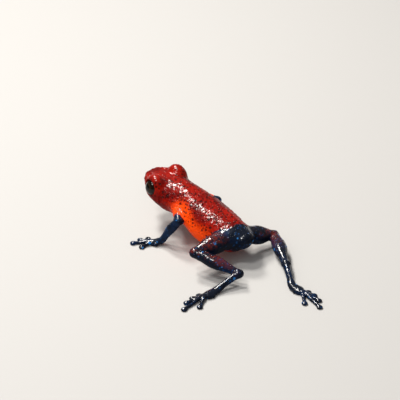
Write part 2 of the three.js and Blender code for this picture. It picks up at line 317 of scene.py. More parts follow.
class Surface:
    """The zero level of a grid as a closed mesh of quads."""

    CORNERS = ((0, 0), (1, 0), (1, 1), (0, 1))
    PARTING_ROUNDS = 12
    PARTING = 0.004
    RELAX_ROUNDS = 3
    RELAX_SHARE = 0.6
    PULL_ROUNDS = 2
    PULL_LIMIT = 0.5
    SLOPE_REACH = 0.6

    def __init__(self, grid: Grid) -> None:
        """Pulls the surface out of the grid.

        Args:
            grid: Distances, negative inside.
        """
        self.grid = grid
        self._part_diagonals()
        self._extract()
        for _ in range(self.RELAX_ROUNDS):
            self._relax()

    def _part_diagonals(self) -> None:
        """Changes the sign of one corner of each face whose corners alternate.

        Two sheets of the surface would meet in a line at such a face.
        """
        values = self.grid.values
        for _ in range(self.PARTING_ROUNDS):
            found = 0
            for a, b in ((0, 1), (1, 2), (0, 2)):
                corners = []
                for da, db in self.CORNERS:
                    cut = [slice(None)] * 3
                    cut[a] = slice(da, values.shape[a] - 1 + da)
                    cut[b] = slice(db, values.shape[b] - 1 + db)
                    corners.append(values[tuple(cut)])
                signs = [c < 0 for c in corners]
                mixed = (signs[0] == signs[2]) & (signs[1] == signs[3]) & (signs[0] != signs[1])
                places = np.argwhere(mixed)
                found += len(places)
                for place in places:
                    corner = place.copy()
                    sizes = [abs(c[tuple(place)]) for c in corners]
                    da, db = self.CORNERS[int(np.argmin(sizes))]
                    corner[a] += da
                    corner[b] += db
                    old = values[tuple(corner)]
                    values[tuple(corner)] = -self.PARTING if old >= 0 else self.PARTING
            if not found:
                return

    def _extract(self) -> None:
        """Finds one point in each cell that the surface crosses, and the quads between them."""
        values = self.grid.values
        inside = values < 0
        size = np.array(values.shape) - 1
        count = np.zeros(size, np.uint8)
        for d in np.ndindex(2, 2, 2):
            count += inside[tuple(slice(a, a + n) for a, n in zip(d, size))]
        active = (count > 0) & (count < 8)
        cells = np.argwhere(active)
        number = np.full(size, -1, np.int64)
        number[active] = np.arange(len(cells))
        self.points = self._middles(cells)
        self.quads = self._rings(inside, number)

    def _middles(self, cells: Array) -> Array:
        """Finds the middle of the surface's crossings in each cell.

        Args:
            cells: Lowest corners of the crossed cells, one row each.

        Returns:
            One point for each cell, in grid steps.
        """
        values = self.grid.values
        total = np.zeros((len(cells), 3))
        hits = np.zeros(len(cells))
        for axis in range(3):
            step = np.eye(3, dtype=int)[axis]
            for d in np.ndindex(2, 2, 2):
                if d[axis]:
                    continue
                start = cells + d
                va = values[tuple(start.T)].astype(float)
                vb = values[tuple((start + step).T)].astype(float)
                crossed = (va < 0) != (vb < 0)
                t = np.where(crossed, va / np.where(crossed, va - vb, 1.0), 0.0)
                total += (start + t[:, None] * step) * crossed[:, None]
                hits += crossed
        return total / hits[:, None]

    @staticmethod
    def _rings(inside: Array, number: Array) -> Array:
        """Joins the four cells round each crossed lattice edge.

        Args:
            inside: Whether each sample place lies in the flesh.
            number: Number of each cell's point, or -1.

        Returns:
            Point numbers of the quads, one row each, turned outward.
        """
        quads = []
        for axis, b, c in ((0, 1, 2), (1, 2, 0), (2, 0, 1)):
            step, back_b, back_c = (np.eye(3, dtype=int)[i] for i in (axis, b, c))
            ends = [slice(None)] * 3
            ends[axis] = slice(1, None)
            starts = [slice(None)] * 3
            starts[axis] = slice(0, -1)
            change = inside[tuple(starts)] != inside[tuple(ends)]
            edges = np.argwhere(change)
            ring = (edges, edges - back_b, edges - back_b - back_c, edges - back_c)
            quad = np.stack([number[tuple(r.T)] for r in ring], axis=1)
            outward = inside[tuple(edges.T)]
            quads.append(np.where(outward[:, None], quad, quad[:, ::-1]))
        return np.concatenate(quads)

    def read(self, points: Array) -> Array:
        """Reads distances by weighing the eight corners round each place.

        Args:
            points: Places in grid steps, one row each.

        Returns:
            One distance for each place, in millimetres.
        """
        base = np.clip(np.floor(points).astype(int), 0, np.array(self.grid.values.shape) - 2)
        t = points - base
        total = np.zeros(len(points))
        for corner in np.ndindex(2, 2, 2):
            weight = np.prod(np.where(corner, t, 1.0 - t), axis=1)
            total += weight * self.grid.values[tuple((base + corner).T)]
        return total

    def slopes(self, points: Array) -> Array:
        """Works out which way the surface faces.

        Args:
            points: Places in grid steps, one row each.

        Returns:
            Outward directions of length 1, one row each.
        """
        parts = []
        for axis in range(3):
            step = np.eye(3)[axis] * self.SLOPE_REACH
            parts.append(self.read(points + step) - self.read(points - step))
        slope = np.stack(parts, axis=1)
        return slope / np.maximum(np.linalg.norm(slope, axis=1, keepdims=True), 1e-9)

    def _relax(self) -> None:
        """Moves each point towards the middle of its neighbours, and back onto the surface."""
        count = np.zeros(len(self.points))
        total = np.zeros_like(self.points)
        for a in range(4):
            here, there = self.quads[:, a], self.quads[:, (a + 1) % 4]
            for i, j in ((here, there), (there, here)):
                np.add.at(total, i, self.points[j])
                np.add.at(count, i, 1)
        kept = 1.0 - self.RELAX_SHARE
        moved = kept * self.points + self.RELAX_SHARE * total / count[:, None]
        for _ in range(self.PULL_ROUNDS):
            gap = np.clip(self.read(moved) / Grid.STEP, -self.PULL_LIMIT, self.PULL_LIMIT)
            moved = moved - self.slopes(moved) * gap[:, None]
        self.points = moved

    @property
    def places(self) -> Array:
        """The points in millimetres, one row each."""
        return (self.points + self.grid.first) * Grid.STEP


class FrogFrame:
    """Turns the frog's own millimetres into the frame's metres."""

    def __init__(self, eye: Point) -> None:
        """Reads the shift from the left eye's node.

        Args:
            eye: Centre of the left eye, forward, left and up, in millimetres.
        """
        low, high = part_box("eye_left")
        centre = (low + high) / 2 / MM
        self.left = centre.x - eye[1]
        self.forward = centre.y + eye[0]

    def place(self, points: Array) -> Array:
        """Frame places in metres of points given forward, left and up in millimetres."""
        f, l, z = np.asarray(points, float).T
        return np.stack([l + self.left, self.forward - f, z], axis=1) * MM

    def vector(self, point: Point) -> Vector:
        """One place as a vector in metres."""
        return Vector(self.place(np.array([point]))[0])


# Shapes of the frog


@dataclass(frozen=True)
class Station:
    """One cross-section of the trunk, in millimetres."""

    forward: float
    top: float
    low: float
    wide: float


@dataclass
class Trunk:
    """Torso and head as one rounded form, drawn through stations.

    Past the last station at either end it closes in a dome, whose middle bends to the tip's height,
    up to past_most times the dome's length.
    """

    snout: float = 19.8
    rump: float = -0.75
    snout_height: float = 6.1
    rump_height: float = 3.9
    past_most: float = 1.3
    stations: tuple[Station, ...] = (
        Station(0, 4.9, 2.5, 1.45),
        Station(1.6, 5.5, 1.35, 2.15),
        Station(4.2, 6.15, 0.75, 3.0),
        Station(7.4, 6.75, 0.75, 3.4),
        Station(10.3, 7.4, 1.9, 3.0),
        Station(12.6, 7.65, 2.65, 2.75),
        Station(14.6, 7.65, 2.8, 3.1),
        Station(16.4, 7.6, 3.4, 2.9),
        Station(17.9, 7.5, 4.1, 2.25),
        Station(19.1, 7.42, 4.7, 1.6),
    )
    top: Track = field(init=False)
    low: Track = field(init=False)
    wide: Track = field(init=False)

    def __post_init__(self) -> None:
        """Draws the three tracks through the stations."""
        places = [s.forward for s in self.stations]
        self.top = Track(places, [s.top for s in self.stations])
        self.low = Track(places, [s.low for s in self.stations])
        self.wide = Track(places, [s.wide for s in self.stations])

    def section(self, f: Array) -> tuple[Array, Array, Array, Array, Array]:
        """Sizes of the cross-sections at places along the body.

        Args:
            f: Forward places.

        Returns:
            Middle height, half height, half width, share of the way past the last station to the
            tip, and length of that way.
        """
        first, last = self.stations[0].forward, self.stations[-1].forward
        ahead = f > last
        reach = np.where(ahead, self.snout - last, first - self.rump)
        past = np.maximum(np.where(ahead, f - last, first - f) / reach, 0.0)
        top, low, wide = self.top(f), self.low(f), self.wide(f)
        tip = np.where(ahead, self.snout_height, self.rump_height)
        middle = (top + low) / 2
        middle = middle + (tip - middle) * np.minimum(past, self.past_most) ** 2
        return middle, (top - low) / 2, wide, past, reach

    def distance(self, f: Array, l: Array, z: Array) -> Array:
        """Signed distance to the trunk, close to true near its surface.

        Args:
            f: Forward places.
            l: Left places.
            z: Heights.

        Returns:
            Distances, negative inside.
        """
        middle, high, wide, past, reach = self.section(f)
        across = l / wide
        over = (z - middle) / high
        k = np.sqrt(past**2 + across**2 + over**2)
        slope = np.sqrt((past / reach) ** 2 + (across / wide) ** 2 + (over / high) ** 2)
        return k * (k - 1.0) / np.maximum(slope, LEAST_SLOPE)

    def rise(self, f: Array, z: Array) -> Array:
        """Heights above the trunk's middle, as shares of its half height."""
        middle, high, _, _, _ = self.section(f)
        return (z - middle) / high

    def front(self, z: float) -> float:
        """Finds the front of the snout at a height.

        Args:
            z: The height.

        Returns:
            The forward place.
        """
        last = self.stations[-1]
        over = (z - self.snout_height) / ((last.top - last.low) / 2)
        return last.forward + (self.snout - last.forward) * math.sqrt(max(0.0, 1.0 - over * over))

    def side(self, f: float, z: float, side: Side) -> Point:
        """Finds a point on the trunk's side.

        Args:
            f: Forward place.
            z: Height.
            side: The side.

        Returns:
            The point.
        """
        middle, high, wide, past, _ = (float(v) for v in self.section(np.array(f)))
        round_off = math.sqrt(max(0.0, 1.0 - past * past))
        rise = np.clip((z - middle) / max(high * round_off, 1e-6), -1.0, 1.0)
        return (f, side.value * wide * round_off * math.sqrt(1.0 - rise * rise), z)


@dataclass
class Tube:
    """A round piece along a bent line, its half thickness read from radii at equal steps."""

    line: Sequence[Point]
    radii: Sequence[float]
    flat: float = 1.0
    steps: int = 10

    def curve(self) -> Array:
        """Draws the tube's line.

        Returns:
            Points along it, smooth through the given ones.
        """
        given = np.array(self.line, float)
        if len(given) == 2:
            t = np.linspace(0.0, 1.0, 3)[:, None]
            return given[0] * (1 - t) + given[1] * t
        lengths = np.linalg.norm(np.diff(given, axis=0), axis=1)
        places = np.concatenate([[0.0], np.cumsum(lengths)])
        tracks = [Track(places, given[:, i]) for i in range(3)]
        even = np.linspace(0.0, places[-1], self.steps + 1)
        return np.stack([track(even) for track in tracks], axis=1)

    def radius(self, share: Array) -> Array:
        """Reads the half thickness.

        Args:
            share: Shares of the length, from 0 to 1.

        Returns:
            Half thickness at each share.
        """
        even = np.linspace(0.0, 1.0, len(self.radii))
        if len(self.radii) > 2:
            return Track(even, self.radii)(share)
        return np.interp(share, even, self.radii)

    def distance(self, f: Array, l: Array, z: Array) -> Array:
        """Signed distance to the tube.

        Args:
            f: Forward places.
            l: Left places.
            z: Heights.

        Returns:
            Distances, negative inside.
        """
        points = self.curve()
        shares = np.linspace(0.0, 1.0, len(points))
        best = None
        for i in range(len(points) - 1):
            a, way = points[i], points[i + 1] - points[i]
            along = ((f - a[0]) * way[0] + (l - a[1]) * way[1] + (z - a[2]) * way[2]) / (way @ way)
            t = np.clip(along, 0.0, 1.0)
            gap_f, gap_l = f - a[0] - t * way[0], l - a[1] - t * way[1]
            gap_z = (z - a[2] - t * way[2]) / self.flat
            share = shares[i] + t * (shares[i + 1] - shares[i])
            gap = np.sqrt(gap_f**2 + gap_l**2 + gap_z**2) - self.radius(share)
            best = gap if best is None else np.minimum(best, gap)
        return best

    def box(self, margin: float) -> tuple[Array, Array]:
        """Finds the block of space round the tube.

        Args:
            margin: Room left round it.

        Returns:
            Lowest and highest corner.
        """
        points = self.curve()
        reach = max(self.radii) + margin
        return points.min(0) - reach, points.max(0) + reach


@dataclass
class Ball:
    """An ellipsoid."""

    centre: Point
    half: Sizes

    def distance(self, f: Array, l: Array, z: Array) -> Array:
        """Signed distance, close to true near the surface.

        Args:
            f: Forward places.
            l: Left places.
            z: Heights.

        Returns:
            Distances, negative inside.
        """
        parts = [(v - c) / h for v, c, h in zip((f, l, z), self.centre, self.half)]
        k = np.sqrt(sum(p**2 for p in parts))
        slope = np.sqrt(sum((p / h) ** 2 for p, h in zip(parts, self.half)))
        return k * (k - 1.0) / np.maximum(slope, LEAST_SLOPE)

    def box(self, margin: float) -> tuple[Array, Array]:
        """Finds the block of space round the ellipsoid.

        Args:
            margin: Room left round it.

        Returns:
            Lowest and highest corner.
        """
        centre, half = np.array(self.centre), np.array(self.half)
        return centre - half - margin, centre + half + margin


def sampled(form: Tube | Ball, margin: float = 1.2) -> Grid:
    """A grid that holds one form.

    Args:
        form: The form to sample.
        margin: How far the grid reaches past the form.

    Returns:
        The filled grid.
    """
    grid = Grid(*form.box(margin))
    grid.values[...] = form.distance(*grid.axes)
    return grid


@dataclass
class Eye:
    """One eyeball and the lids' opening round it."""

    side: Side
    forward: float = 16.4
    left: float = 2.3
    up: float = 6.45
    radius: float = 1.25
    tilt: float = math.radians(18)
    swing: float = math.radians(15)
    opening: tuple[float, float] = (1.17, 1.1)
    opening_start: float = 0.15
    opening_block: Sizes = (2.0, 2.4, 2.0)
    opening_margin: float = 0.2
    rim_gap: float = 0.1
    rim_least: float = 0.1
    rim_lift: float = 0.04
    rim_radius: float = 0.11
    rim_points: int = 29
    rim_steps: int = 40

    @property
    def centre(self) -> Point:
        """The eyeball's centre."""
        return (self.forward, self.side.value * self.left, self.up)

    def turned(self, f: Array, l: Array, z: Array) -> tuple[Array, Array, Array]:
        """Turns places into the eye's own axes.

        Args:
            f: Forward places.
            l: Left places.
            z: Heights.

        Returns:
            Places forward of the eye, outward along its gaze, and up across it.
        """
        along, out, rise = f - self.forward, self.side.value * l - self.left, z - self.up
        cos, sin = math.cos(self.swing), math.sin(self.swing)
        along, out = along * cos - out * sin, out * cos + along * sin
        cos, sin = math.cos(self.tilt), math.sin(self.tilt)
        return along, out * cos + rise * sin, rise * cos - out * sin

    def untwist(self, along: float, out: float, across: float) -> Point:
        """Turns a point in the eye's axes back into the frog's.

        Args:
            along: Place forward of the eye's centre.
            out: Place along its gaze.
            across: Place up across its gaze.

        Returns:
            The point, forward, left and up.
        """
        cos, sin = math.cos(self.tilt), math.sin(self.tilt)
        out, rise = out * cos - across * sin, out * sin + across * cos
        cos, sin = math.cos(self.swing), math.sin(self.swing)
        along, out = along * cos + out * sin, out * cos - along * sin
        return (self.forward + along, self.side.value * (self.left + out), self.up + rise)

    def hole(self) -> Grid:
        """Makes the opening between the lids.

        Returns:
            A grid that holds the opening as a form.
        """
        long, high = self.opening
        grid = Grid(*Ball(self.centre, self.opening_block).box(self.opening_margin))
        along, out, across = self.turned(*grid.axes)
        ring = (np.sqrt((along / long) ** 2 + (across / high) ** 2) - 1.0) * high
        grid.values[...] = np.maximum(ring, self.opening_start - out)
        return grid

    def rim(self) -> Tube:
        """Makes the thickened edge of the lids.

        Returns:
            The edge as a closed ring.
        """
        long, high = (size + self.rim_gap for size in self.opening)
        reach = self.radius + self.rim_lift
        line = []
        for t in np.linspace(0.0, 2 * math.pi, self.rim_points):
            along, across = long * math.cos(t), high * math.sin(t)
            out = math.sqrt(max(self.rim_least, reach**2 - along**2 - across**2))
            line.append(self.untwist(along, out, across))
        return Tube(line, (self.rim_radius,) * 2, steps=self.rim_steps)


def on_side(points: Sequence[Point], side: Side) -> list[Point]:
    """Points of the left side, carried over to the given side."""
    return [(f, side.value * l, z) for f, l, z in points]


@dataclass
class Head:
    """Brows, lids, snout ridges, mouth line, nostrils and ear discs."""

    trunk: Trunk
    eyes: tuple[Eye, Eye] = (Eye(Side.LEFT), Eye(Side.RIGHT))
    brow: Point = (16.3, 2.08, 6.45)
    brow_half: Sizes = (1.75, 1.38, 1.93)
    brow_blend: float = 0.5
    ridge: tuple[Point, ...] = ((17.3, 2.0, 7.0), (18.4, 1.5, 7.05), (19.2, 0.95, 6.95))
    ridge_radii: Sizes = (0.34, 0.3, 0.24)
    cheek: tuple[Point, ...] = ((15.4, 2.5, 5.0), (13.6, 2.3, 5.3), (12.4, 2.3, 5.6))
    cheek_radii: Sizes = (0.45, 0.5, 0.4)
    cheek_blend: float = 0.6
    mouth_corner: tuple[float, float] = (14.7, 4.7)
    mouth_tip: float = 5.35
    mouth_inset: float = 0.08
    mouth_sag: float = 0.1
    mouth_points: int = 12
    mouth_radii: tuple[float, ...] = (0.05, 0.1, 0.1, 0.1, 0.05)
    mouth_steps: int = 60
    lip_lift: float = 0.24
    lip_radii: Sizes = (0.1, 0.11, 0.1)
    lip_steps: int = 48
    lip_blend: float = 0.3
    lid_blend: float = 0.16
    cut_edge: float = 0.12
    cut_margin: float = 0.5
    nostril: tuple[float, float] = (19.1, 6.45)
    nostril_rim: Sizes = (0.3, 0.22, 0.24)
    nostril_rim_shift: tuple[float, float, float] = (-0.1, 0.93, 0.0)
    nostril_rim_blend: float = 0.25
    nostril_hole: Sizes = (0.15, 0.17, 0.12)
    nostril_hole_shift: tuple[float, float, float] = (0.04, 1.12, 0.02)
    nostril_hole_edge: float = 0.1
    nostril_hole_margin: float = 0.4
    drum: tuple[float, float] = (14.3, 5.65)
    drum_radius: float = 0.46
    drum_least_left: float = 1.6

    def mouth_line(self, lift: float = 0.0) -> list[Point]:
        """Draws the closed mouth.

        Args:
            lift: How far above the mouth the line runs.

        Returns:
            Points from the right corner round the snout to the left one.
        """
        corner, height = self.mouth_corner
        front = self.trunk.front(self.mouth_tip + lift)
        half: list[Point] = []
        for t in np.linspace(0.0, 1.0, self.mouth_points):
            f = corner + (front - self.mouth_inset - corner) * math.sin(t * math.pi / 2)
            sag = self.mouth_sag * math.sin(t * math.pi)
            z = height + (self.mouth_tip - height) * t - sag + lift
            half.append(self.trunk.side(f, z, Side.LEFT))
        tip = (front, 0.0, self.mouth_tip + lift)
        return on_side(half, Side.RIGHT) + [tip] + half[::-1]

    def _nostril(self, side: Side, half: Sizes, shift: tuple[float, float, float]) -> Ball:
        """Makes a ball at one nostril.

        Args:
            side: The side.
            half: The ball's half sizes.
            shift: Shift forward, share of the way out from the middle, and shift upward.

        Returns:
            The ball.
        """
        f, l, z = self.trunk.side(*self.nostril, side)
        ahead, share, over = shift
        return Ball((f + ahead, l * share, z + over), half)

    def shape(self, grid: Grid) -> None:
        """Adds the head's forms to the body's grid.

        Args:
            grid: The whole frog's grid.
        """
        for eye in self.eyes:
            brow = Ball(*on_side([self.brow], eye.side), self.brow_half)
            grid.merge(sampled(brow), self.brow_blend)
            ridge = Tube(on_side(self.ridge, eye.side), self.ridge_radii)
            grid.merge(sampled(ridge), self.brow_blend)
            cheek = Tube(on_side(self.cheek, eye.side), self.cheek_radii)
            grid.merge(sampled(cheek), self.cheek_blend)
        lip = Tube(self.mouth_line(self.lip_lift), self.lip_radii, steps=self.lip_steps)
        grid.merge(sampled(lip), self.lip_blend)
        for eye in self.eyes:
            grid.merge(sampled(eye.rim()), self.lid_blend)
            grid.carve(eye.hole(), self.cut_edge)
            rim = self._nostril(eye.side, self.nostril_rim, self.nostril_rim_shift)
            grid.merge(sampled(rim), self.nostril_rim_blend)
            hole = self._nostril(eye.side, self.nostril_hole, self.nostril_hole_shift)
            grid.carve(sampled(hole, self.nostril_hole_margin), self.nostril_hole_edge)
        mouth = Tube(self.mouth_line(), self.mouth_radii, steps=self.mouth_steps)
        grid.carve(sampled(mouth, self.cut_margin), self.cut_edge)

    def ear_gap(self, f: Array, l: Array, z: Array) -> Array:
        """Distance from the nearest ear disc's middle, in disc radii, seen from the side."""
        gap = np.hypot(f - self.drum[0], z - self.drum[1]) / self.drum_radius
        return np.where(np.abs(l) > self.drum_least_left, gap, FAR_OFF)


@dataclass(frozen=True)
class Digit:
    """A finger or toe: length past the palm, and its turn from the palm's axis in degrees."""

    long: float
    turn: float


@dataclass(frozen=True)
class PawPlan:
    """The sizes of a hand or foot."""

    long: float
    wide: float
    thick: float
    digits: tuple[Digit, ...]


HAND = PawPlan(
    long=1.25,
    wide=0.72,
    thick=0.42,
    digits=(Digit(1.75, 52), Digit(2.2, 20), Digit(3.0, -8), Digit(2.25, -42)),
)
FOOT = PawPlan(
    long=1.7,
    wide=0.8,
    thick=0.42,
    digits=(Digit(1.6, 50), Digit(2.4, 28), Digit(3.5, 10), Digit(4.8, -7), Digit(3.3, -32)),
)


@dataclass(frozen=True)
class Bone:
    """A limb piece from joint to joint: how far it bows upward, and its half thicknesses."""

    bow: float
    radii: tuple[float, ...]


@dataclass(frozen=True)
class Muscle:
    """A belly of flesh beside a bone: places along it, shift off it, and half thicknesses."""

    shares: Sizes
    shift: Point
    radii: Sizes
    shift_shares: Sizes = (0.6, 1.0, 0.5)


@dataclass
class Limbs:
    """The foreleg and hind leg of one side, from their joints."""

    side: Side
    shoulder: Point
    elbow: Point
    wrist: Point
    hand_turn: float
    hip: Point
    knee: Point
    heel: Point
    sole: Point
    foot_turn: float
    upper_arm: Bone = Bone(0.08, (0.85, 0.78, 0.66, 0.56))
    forearm: Bone = Bone(0.1, (0.56, 0.66, 0.56, 0.42))
    forearm_muscle: Muscle = Muscle((0.1, 0.35, 0.7), (0.14, 0.2, 0.05), (0.4, 0.56, 0.34))
    elbow_shift: Point = (-0.14, 0.0, 0.04)
    elbow_half: Sizes = (0.52, 0.52, 0.5)
    thigh: Bone = Bone(0.12, (1.2, 1.26, 1.12, 0.9, 0.72))
    thigh_front: Muscle = Muscle((0.15, 0.5, 0.88), (0.34, 0.0, 0.26), (0.7, 1.06, 0.5))
    thigh_back: Muscle = Muscle((0.1, 0.42, 0.85), (-0.32, 0.0, -0.16), (0.7, 1.06, 0.42))
    shank: Bone = Bone(0.1, (0.72, 0.82, 0.8, 0.66, 0.54))
    calf: Muscle = Muscle((0.12, 0.36, 0.78), (-0.12, 0.28, 0.05), (0.5, 0.82, 0.42))
    shin: Muscle = Muscle((0.15, 0.42, 0.75), (0.1, -0.24, 0.1), (0.4, 0.72, 0.4))
    tarsus: Bone = Bone(0.06, (0.56, 0.48, 0.46, 0.44))
    heel_half: Sizes = (0.6, 0.6, 0.54)
    palm_shares: Sizes = (0.62, 0.85, 0.95)
    palm_start: float = 0.12
    palm_round: float = 0.12
    palm_spread: float = 1.5
    digit_radius: float = 0.27
    digit_overlap: float = 0.35
    digit_lift: float = 0.02
    digit_steps: int = 8
    digit_shares: tuple[float, ...] = (1.1, 0.92, 1.02, 0.86, 0.9)
    knuckles: tuple[tuple[float, float], ...] = ((0.35, 0.22), (0.7, 0.05), (0.97, 0.0))
    pad_radius: float = 0.45
    pad_thick: float = 0.24
    sink: float = 0.05
    limb_margin: float = 1.4
    paw_margin: float = 0.8
    flesh_blend: float = 0.26
    paw_blend: float = 0.3
    digit_blend: float = 0.16

    def at(self, joint: Point) -> Array:
        """A joint's place on this side."""
        f, l, z = joint
        return np.array([f, self.side.value * l, z])

    def between(self, a: Point, b: Point, share: float, lift: float) -> Array:
        """A place on the way from one joint to another, raised by lift."""
        return self.at(a) * (1 - share) + self.at(b) * share + np.array([0, 0, lift])

    def bone(self, a: Point, b: Point, plan: Bone) -> Tube:
        """A limb piece between two joints, bowed upward."""
        return Tube([self.at(a), self.between(a, b, 0.5, plan.bow), self.at(b)], plan.radii)

    def muscle(self, a: Point, b: Point, plan: Muscle) -> Tube:
        """Makes a belly of flesh beside a bone.

        Args:
            a: Joint where the bone starts.
            b: Joint where it ends.
            plan: The muscle's sizes.

        Returns:
            The muscle.
        """
        off = self.at(plan.shift)
        steps = zip(plan.shares, plan.shift_shares)
        return Tube([self.between(a, b, share, 0.0) + off * reach for share, reach in steps], plan.radii)

    def foreleg(self) -> Grid:
        """Makes the whole foreleg with its hand.

        Returns:
            A grid that holds it.
        """
        shoulder, elbow, wrist = self.shoulder, self.elbow, self.wrist
        forms = [
            self.bone(shoulder, elbow, self.upper_arm),
            self.bone(elbow, wrist, self.forearm),
            self.muscle(elbow, wrist, self.forearm_muscle),
            Ball(tuple(self.at(elbow) + np.array(self.elbow_shift)), self.elbow_half),
        ]
        return self._chain(forms, self._paw(elbow, wrist, self.hand_turn, HAND))

    def hind_leg(self) -> Grid:
        """Makes the whole hind leg with its foot.

        Returns:
            A grid that holds it.
        """
        hip, knee, heel = self.hip, self.knee, self.heel
        forms = [
            self.bone(hip, knee, self.thigh),
            self.muscle(hip, knee, self.thigh_front),
            self.muscle(hip, knee, self.thigh_back),
            self.bone(knee, heel, self.shank),
            self.muscle(knee, heel, self.calf),
            self.muscle(knee, heel, self.shin),
            self.bone(heel, self.sole, self.tarsus),
            Ball(tuple(self.at(heel)), self.heel_half),
        ]
        return self._chain(forms, self._paw(heel, self.sole, self.foot_turn, FOOT))

    def _chain(self, forms: Sequence[Tube | Ball], paw: Grid) -> Grid:
        """Joins the forms of a limb and its paw.

        Args:
            forms: The limb's forms, from the body outward.
            paw: The hand or foot.

        Returns:
            A grid that holds them all.
        """
        margin = self.limb_margin
        boxes = [form.box(margin) for form in forms]
        low = np.min([b[0] for b in boxes] + [paw.first * Grid.STEP], axis=0)
        high = np.max([b[1] for b in boxes] + [paw.last * Grid.STEP], axis=0)
        grid = Grid(low, high)
        for form in forms:
            grid.merge(sampled(form, margin), self.flesh_blend)
        grid.merge(paw, self.paw_blend)
        return grid

    def _paw(self, before: Point, root: Point, turn: float, plan: PawPlan) -> Grid:
        """Makes a palm or sole with its digits, the pads pressed on the floor.

        Args:
            before: The joint before the wrist or the sole's start.
            root: The wrist, or the sole's start.
            turn: The palm's turn outward from straight ahead, in degrees.
            plan: The paw's sizes.

        Returns:
            A grid that holds it.
        """
        s = self.side.value
        angle = math.radians(turn)
        way = np.array([math.cos(angle), s * math.sin(angle), 0.0])
        spread = np.array([-way[1], way[0], 0.0])
        start = self.at(root)
        front = start + way * plan.long
        front[2] = plan.thick * plan.wide - self.sink
        back = start * (1.0 - self.palm_start) + self.at(before) * self.palm_start
        radii = tuple(plan.wide * share for share in self.palm_shares)
        flat = plan.thick / plan.wide + self.palm_round
        forms: list[Tube | Ball] = [Tube([back, start, front], radii, flat=flat)]
        for i, digit in enumerate(plan.digits):
            off = (i / (len(plan.digits) - 1) - 0.5) * plan.wide * self.palm_spread
            base = front - way * self.digit_overlap - spread * off * s
            base[2] = self.digit_radius + self.digit_lift
            heading = s * math.radians(turn - digit.turn)
            forms += self._digit(base, heading, digit.long + self.digit_overlap)
        boxes = [form.box(self.paw_margin) for form in forms]
        low = np.min([b[0] for b in boxes], axis=0)
        high = np.max([b[1] for b in boxes], axis=0)
        grid = Grid(low, high)
        for form in forms:
            grid.merge(sampled(form, self.paw_margin), self.digit_blend)
        return grid

    def _digit(self, base: Array, angle: float, long: float) -> list[Tube | Ball]:
        """Makes a finger or toe with its knuckles and its round pad.

        Args:
            base: Where it leaves the palm.
            angle: Its heading from straight ahead, in radians.
            long: Its length.

        Returns:
            The shaft and the pad.
        """
        way = np.array([math.cos(angle), math.sin(angle), 0.0])
        level = self.digit_radius - self.sink
        line = [base]
        for share, lift in self.knuckles:
            f, l, _ = base + way * long * share
            line.append(np.array([f, l, level + lift]))
        radii = tuple(self.digit_radius * share for share in self.digit_shares)
        tip = base + way * long
        tip[2] = self.pad_thick - self.sink
        pad = Ball(tuple(tip), (self.pad_radius, self.pad_radius, self.pad_thick))
        return [Tube(line, radii, steps=self.digit_steps), pad]


LEFT_LIMBS = Limbs(
    side=Side.LEFT,
    shoulder=(12.3, 1.7, 5.0),
    elbow=(9.5, 4.1, 4.5),
    wrist=(11.75, 5.15, 0.9),
    hand_turn=40,
    hip=(1.9, 1.2, 3.75),
    knee=(3.3, 6.85, 3.2),
    heel=(-3.35, 4.65, 1.8),
    sole=(-2.7, 8.3, 0.5),
    foot_turn=88,
)
RIGHT_LIMBS = Limbs(
    side=Side.RIGHT,
    shoulder=(12.4, 1.7, 5.0),
    elbow=(10.2, 4.25, 4.2),
    wrist=(13.1, 4.6, 0.95),
    hand_turn=14,
    hip=(1.9, 1.2, 3.25),
    knee=(0.8, 6.45, 1.5),
    heel=(-5.6, 2.4, 1.35),
    sole=(-9.0, 0.1, 0.5),
    foot_turn=186,
)


# Node trees and finishes

Colour = tuple[float, float, float, float]
Named = dict[str, Any] | None


class Graph:
    """A node tree and the ways to add to it."""

    def __init__(self, tree: bpy.types.NodeTree) -> None:
        """Wraps a tree.

        Args:
            tree: The tree that nodes go into.
        """
        self.tree = tree

    def node(self, kind: str, settings: Named = None, sockets: Named = None) -> bpy.types.Node:
        """Adds one node.

        Args:
            kind: The node's type name.
            settings: Properties, set first.
            sockets: Values or links by input identifier.

        Returns:
            The new node.
        """
        made = self.tree.nodes.new(kind)
        for name, value in (settings or {}).items():
            setattr(made, name, value)
        inputs = {s.identifier: s for s in made.inputs}
        for name, value in (sockets or {}).items():
            if isinstance(value, Wire):
                value = value.socket
            if isinstance(value, bpy.types.NodeSocket):
                self.tree.links.new(value, inputs[name])
            else:
                inputs[name].default_value = value
        return made

    def wire(self, kind: str, output: str, settings: Named = None, sockets: Named = None) -> "Wire":
        """Adds one node and wraps one of its outputs."""
        made = self.node(kind, settings, sockets)
        return Wire(self, next(s for s in made.outputs if s.identifier == output))

    def mix(self, factor: "Wire | float", a: "Wire | Colour", b: "Wire | Colour") -> "Wire":
        """A colour that goes from a to b with factor."""
        sockets = {"Factor_Float": factor, "A_Color": a, "B_Color": b}
        return self.wire("ShaderNodeMix", "Result_Color", {"data_type": "RGBA"}, sockets)

    def ease(self, value: "Wire", low: float, high: float) -> "Wire":
        """0 below low, 1 above high, and smooth between."""
        sockets = {"Value": value, "From Min": low, "From Max": high}
        return self.wire("ShaderNodeMapRange", "Result", {"interpolation_type": "SMOOTHSTEP"}, sockets)

    def stored(self, zone: Zone) -> "Wire":
        """A number kept on the mesh."""
        return self.wire("ShaderNodeAttribute", "Fac", {"attribute_name": zone.value})


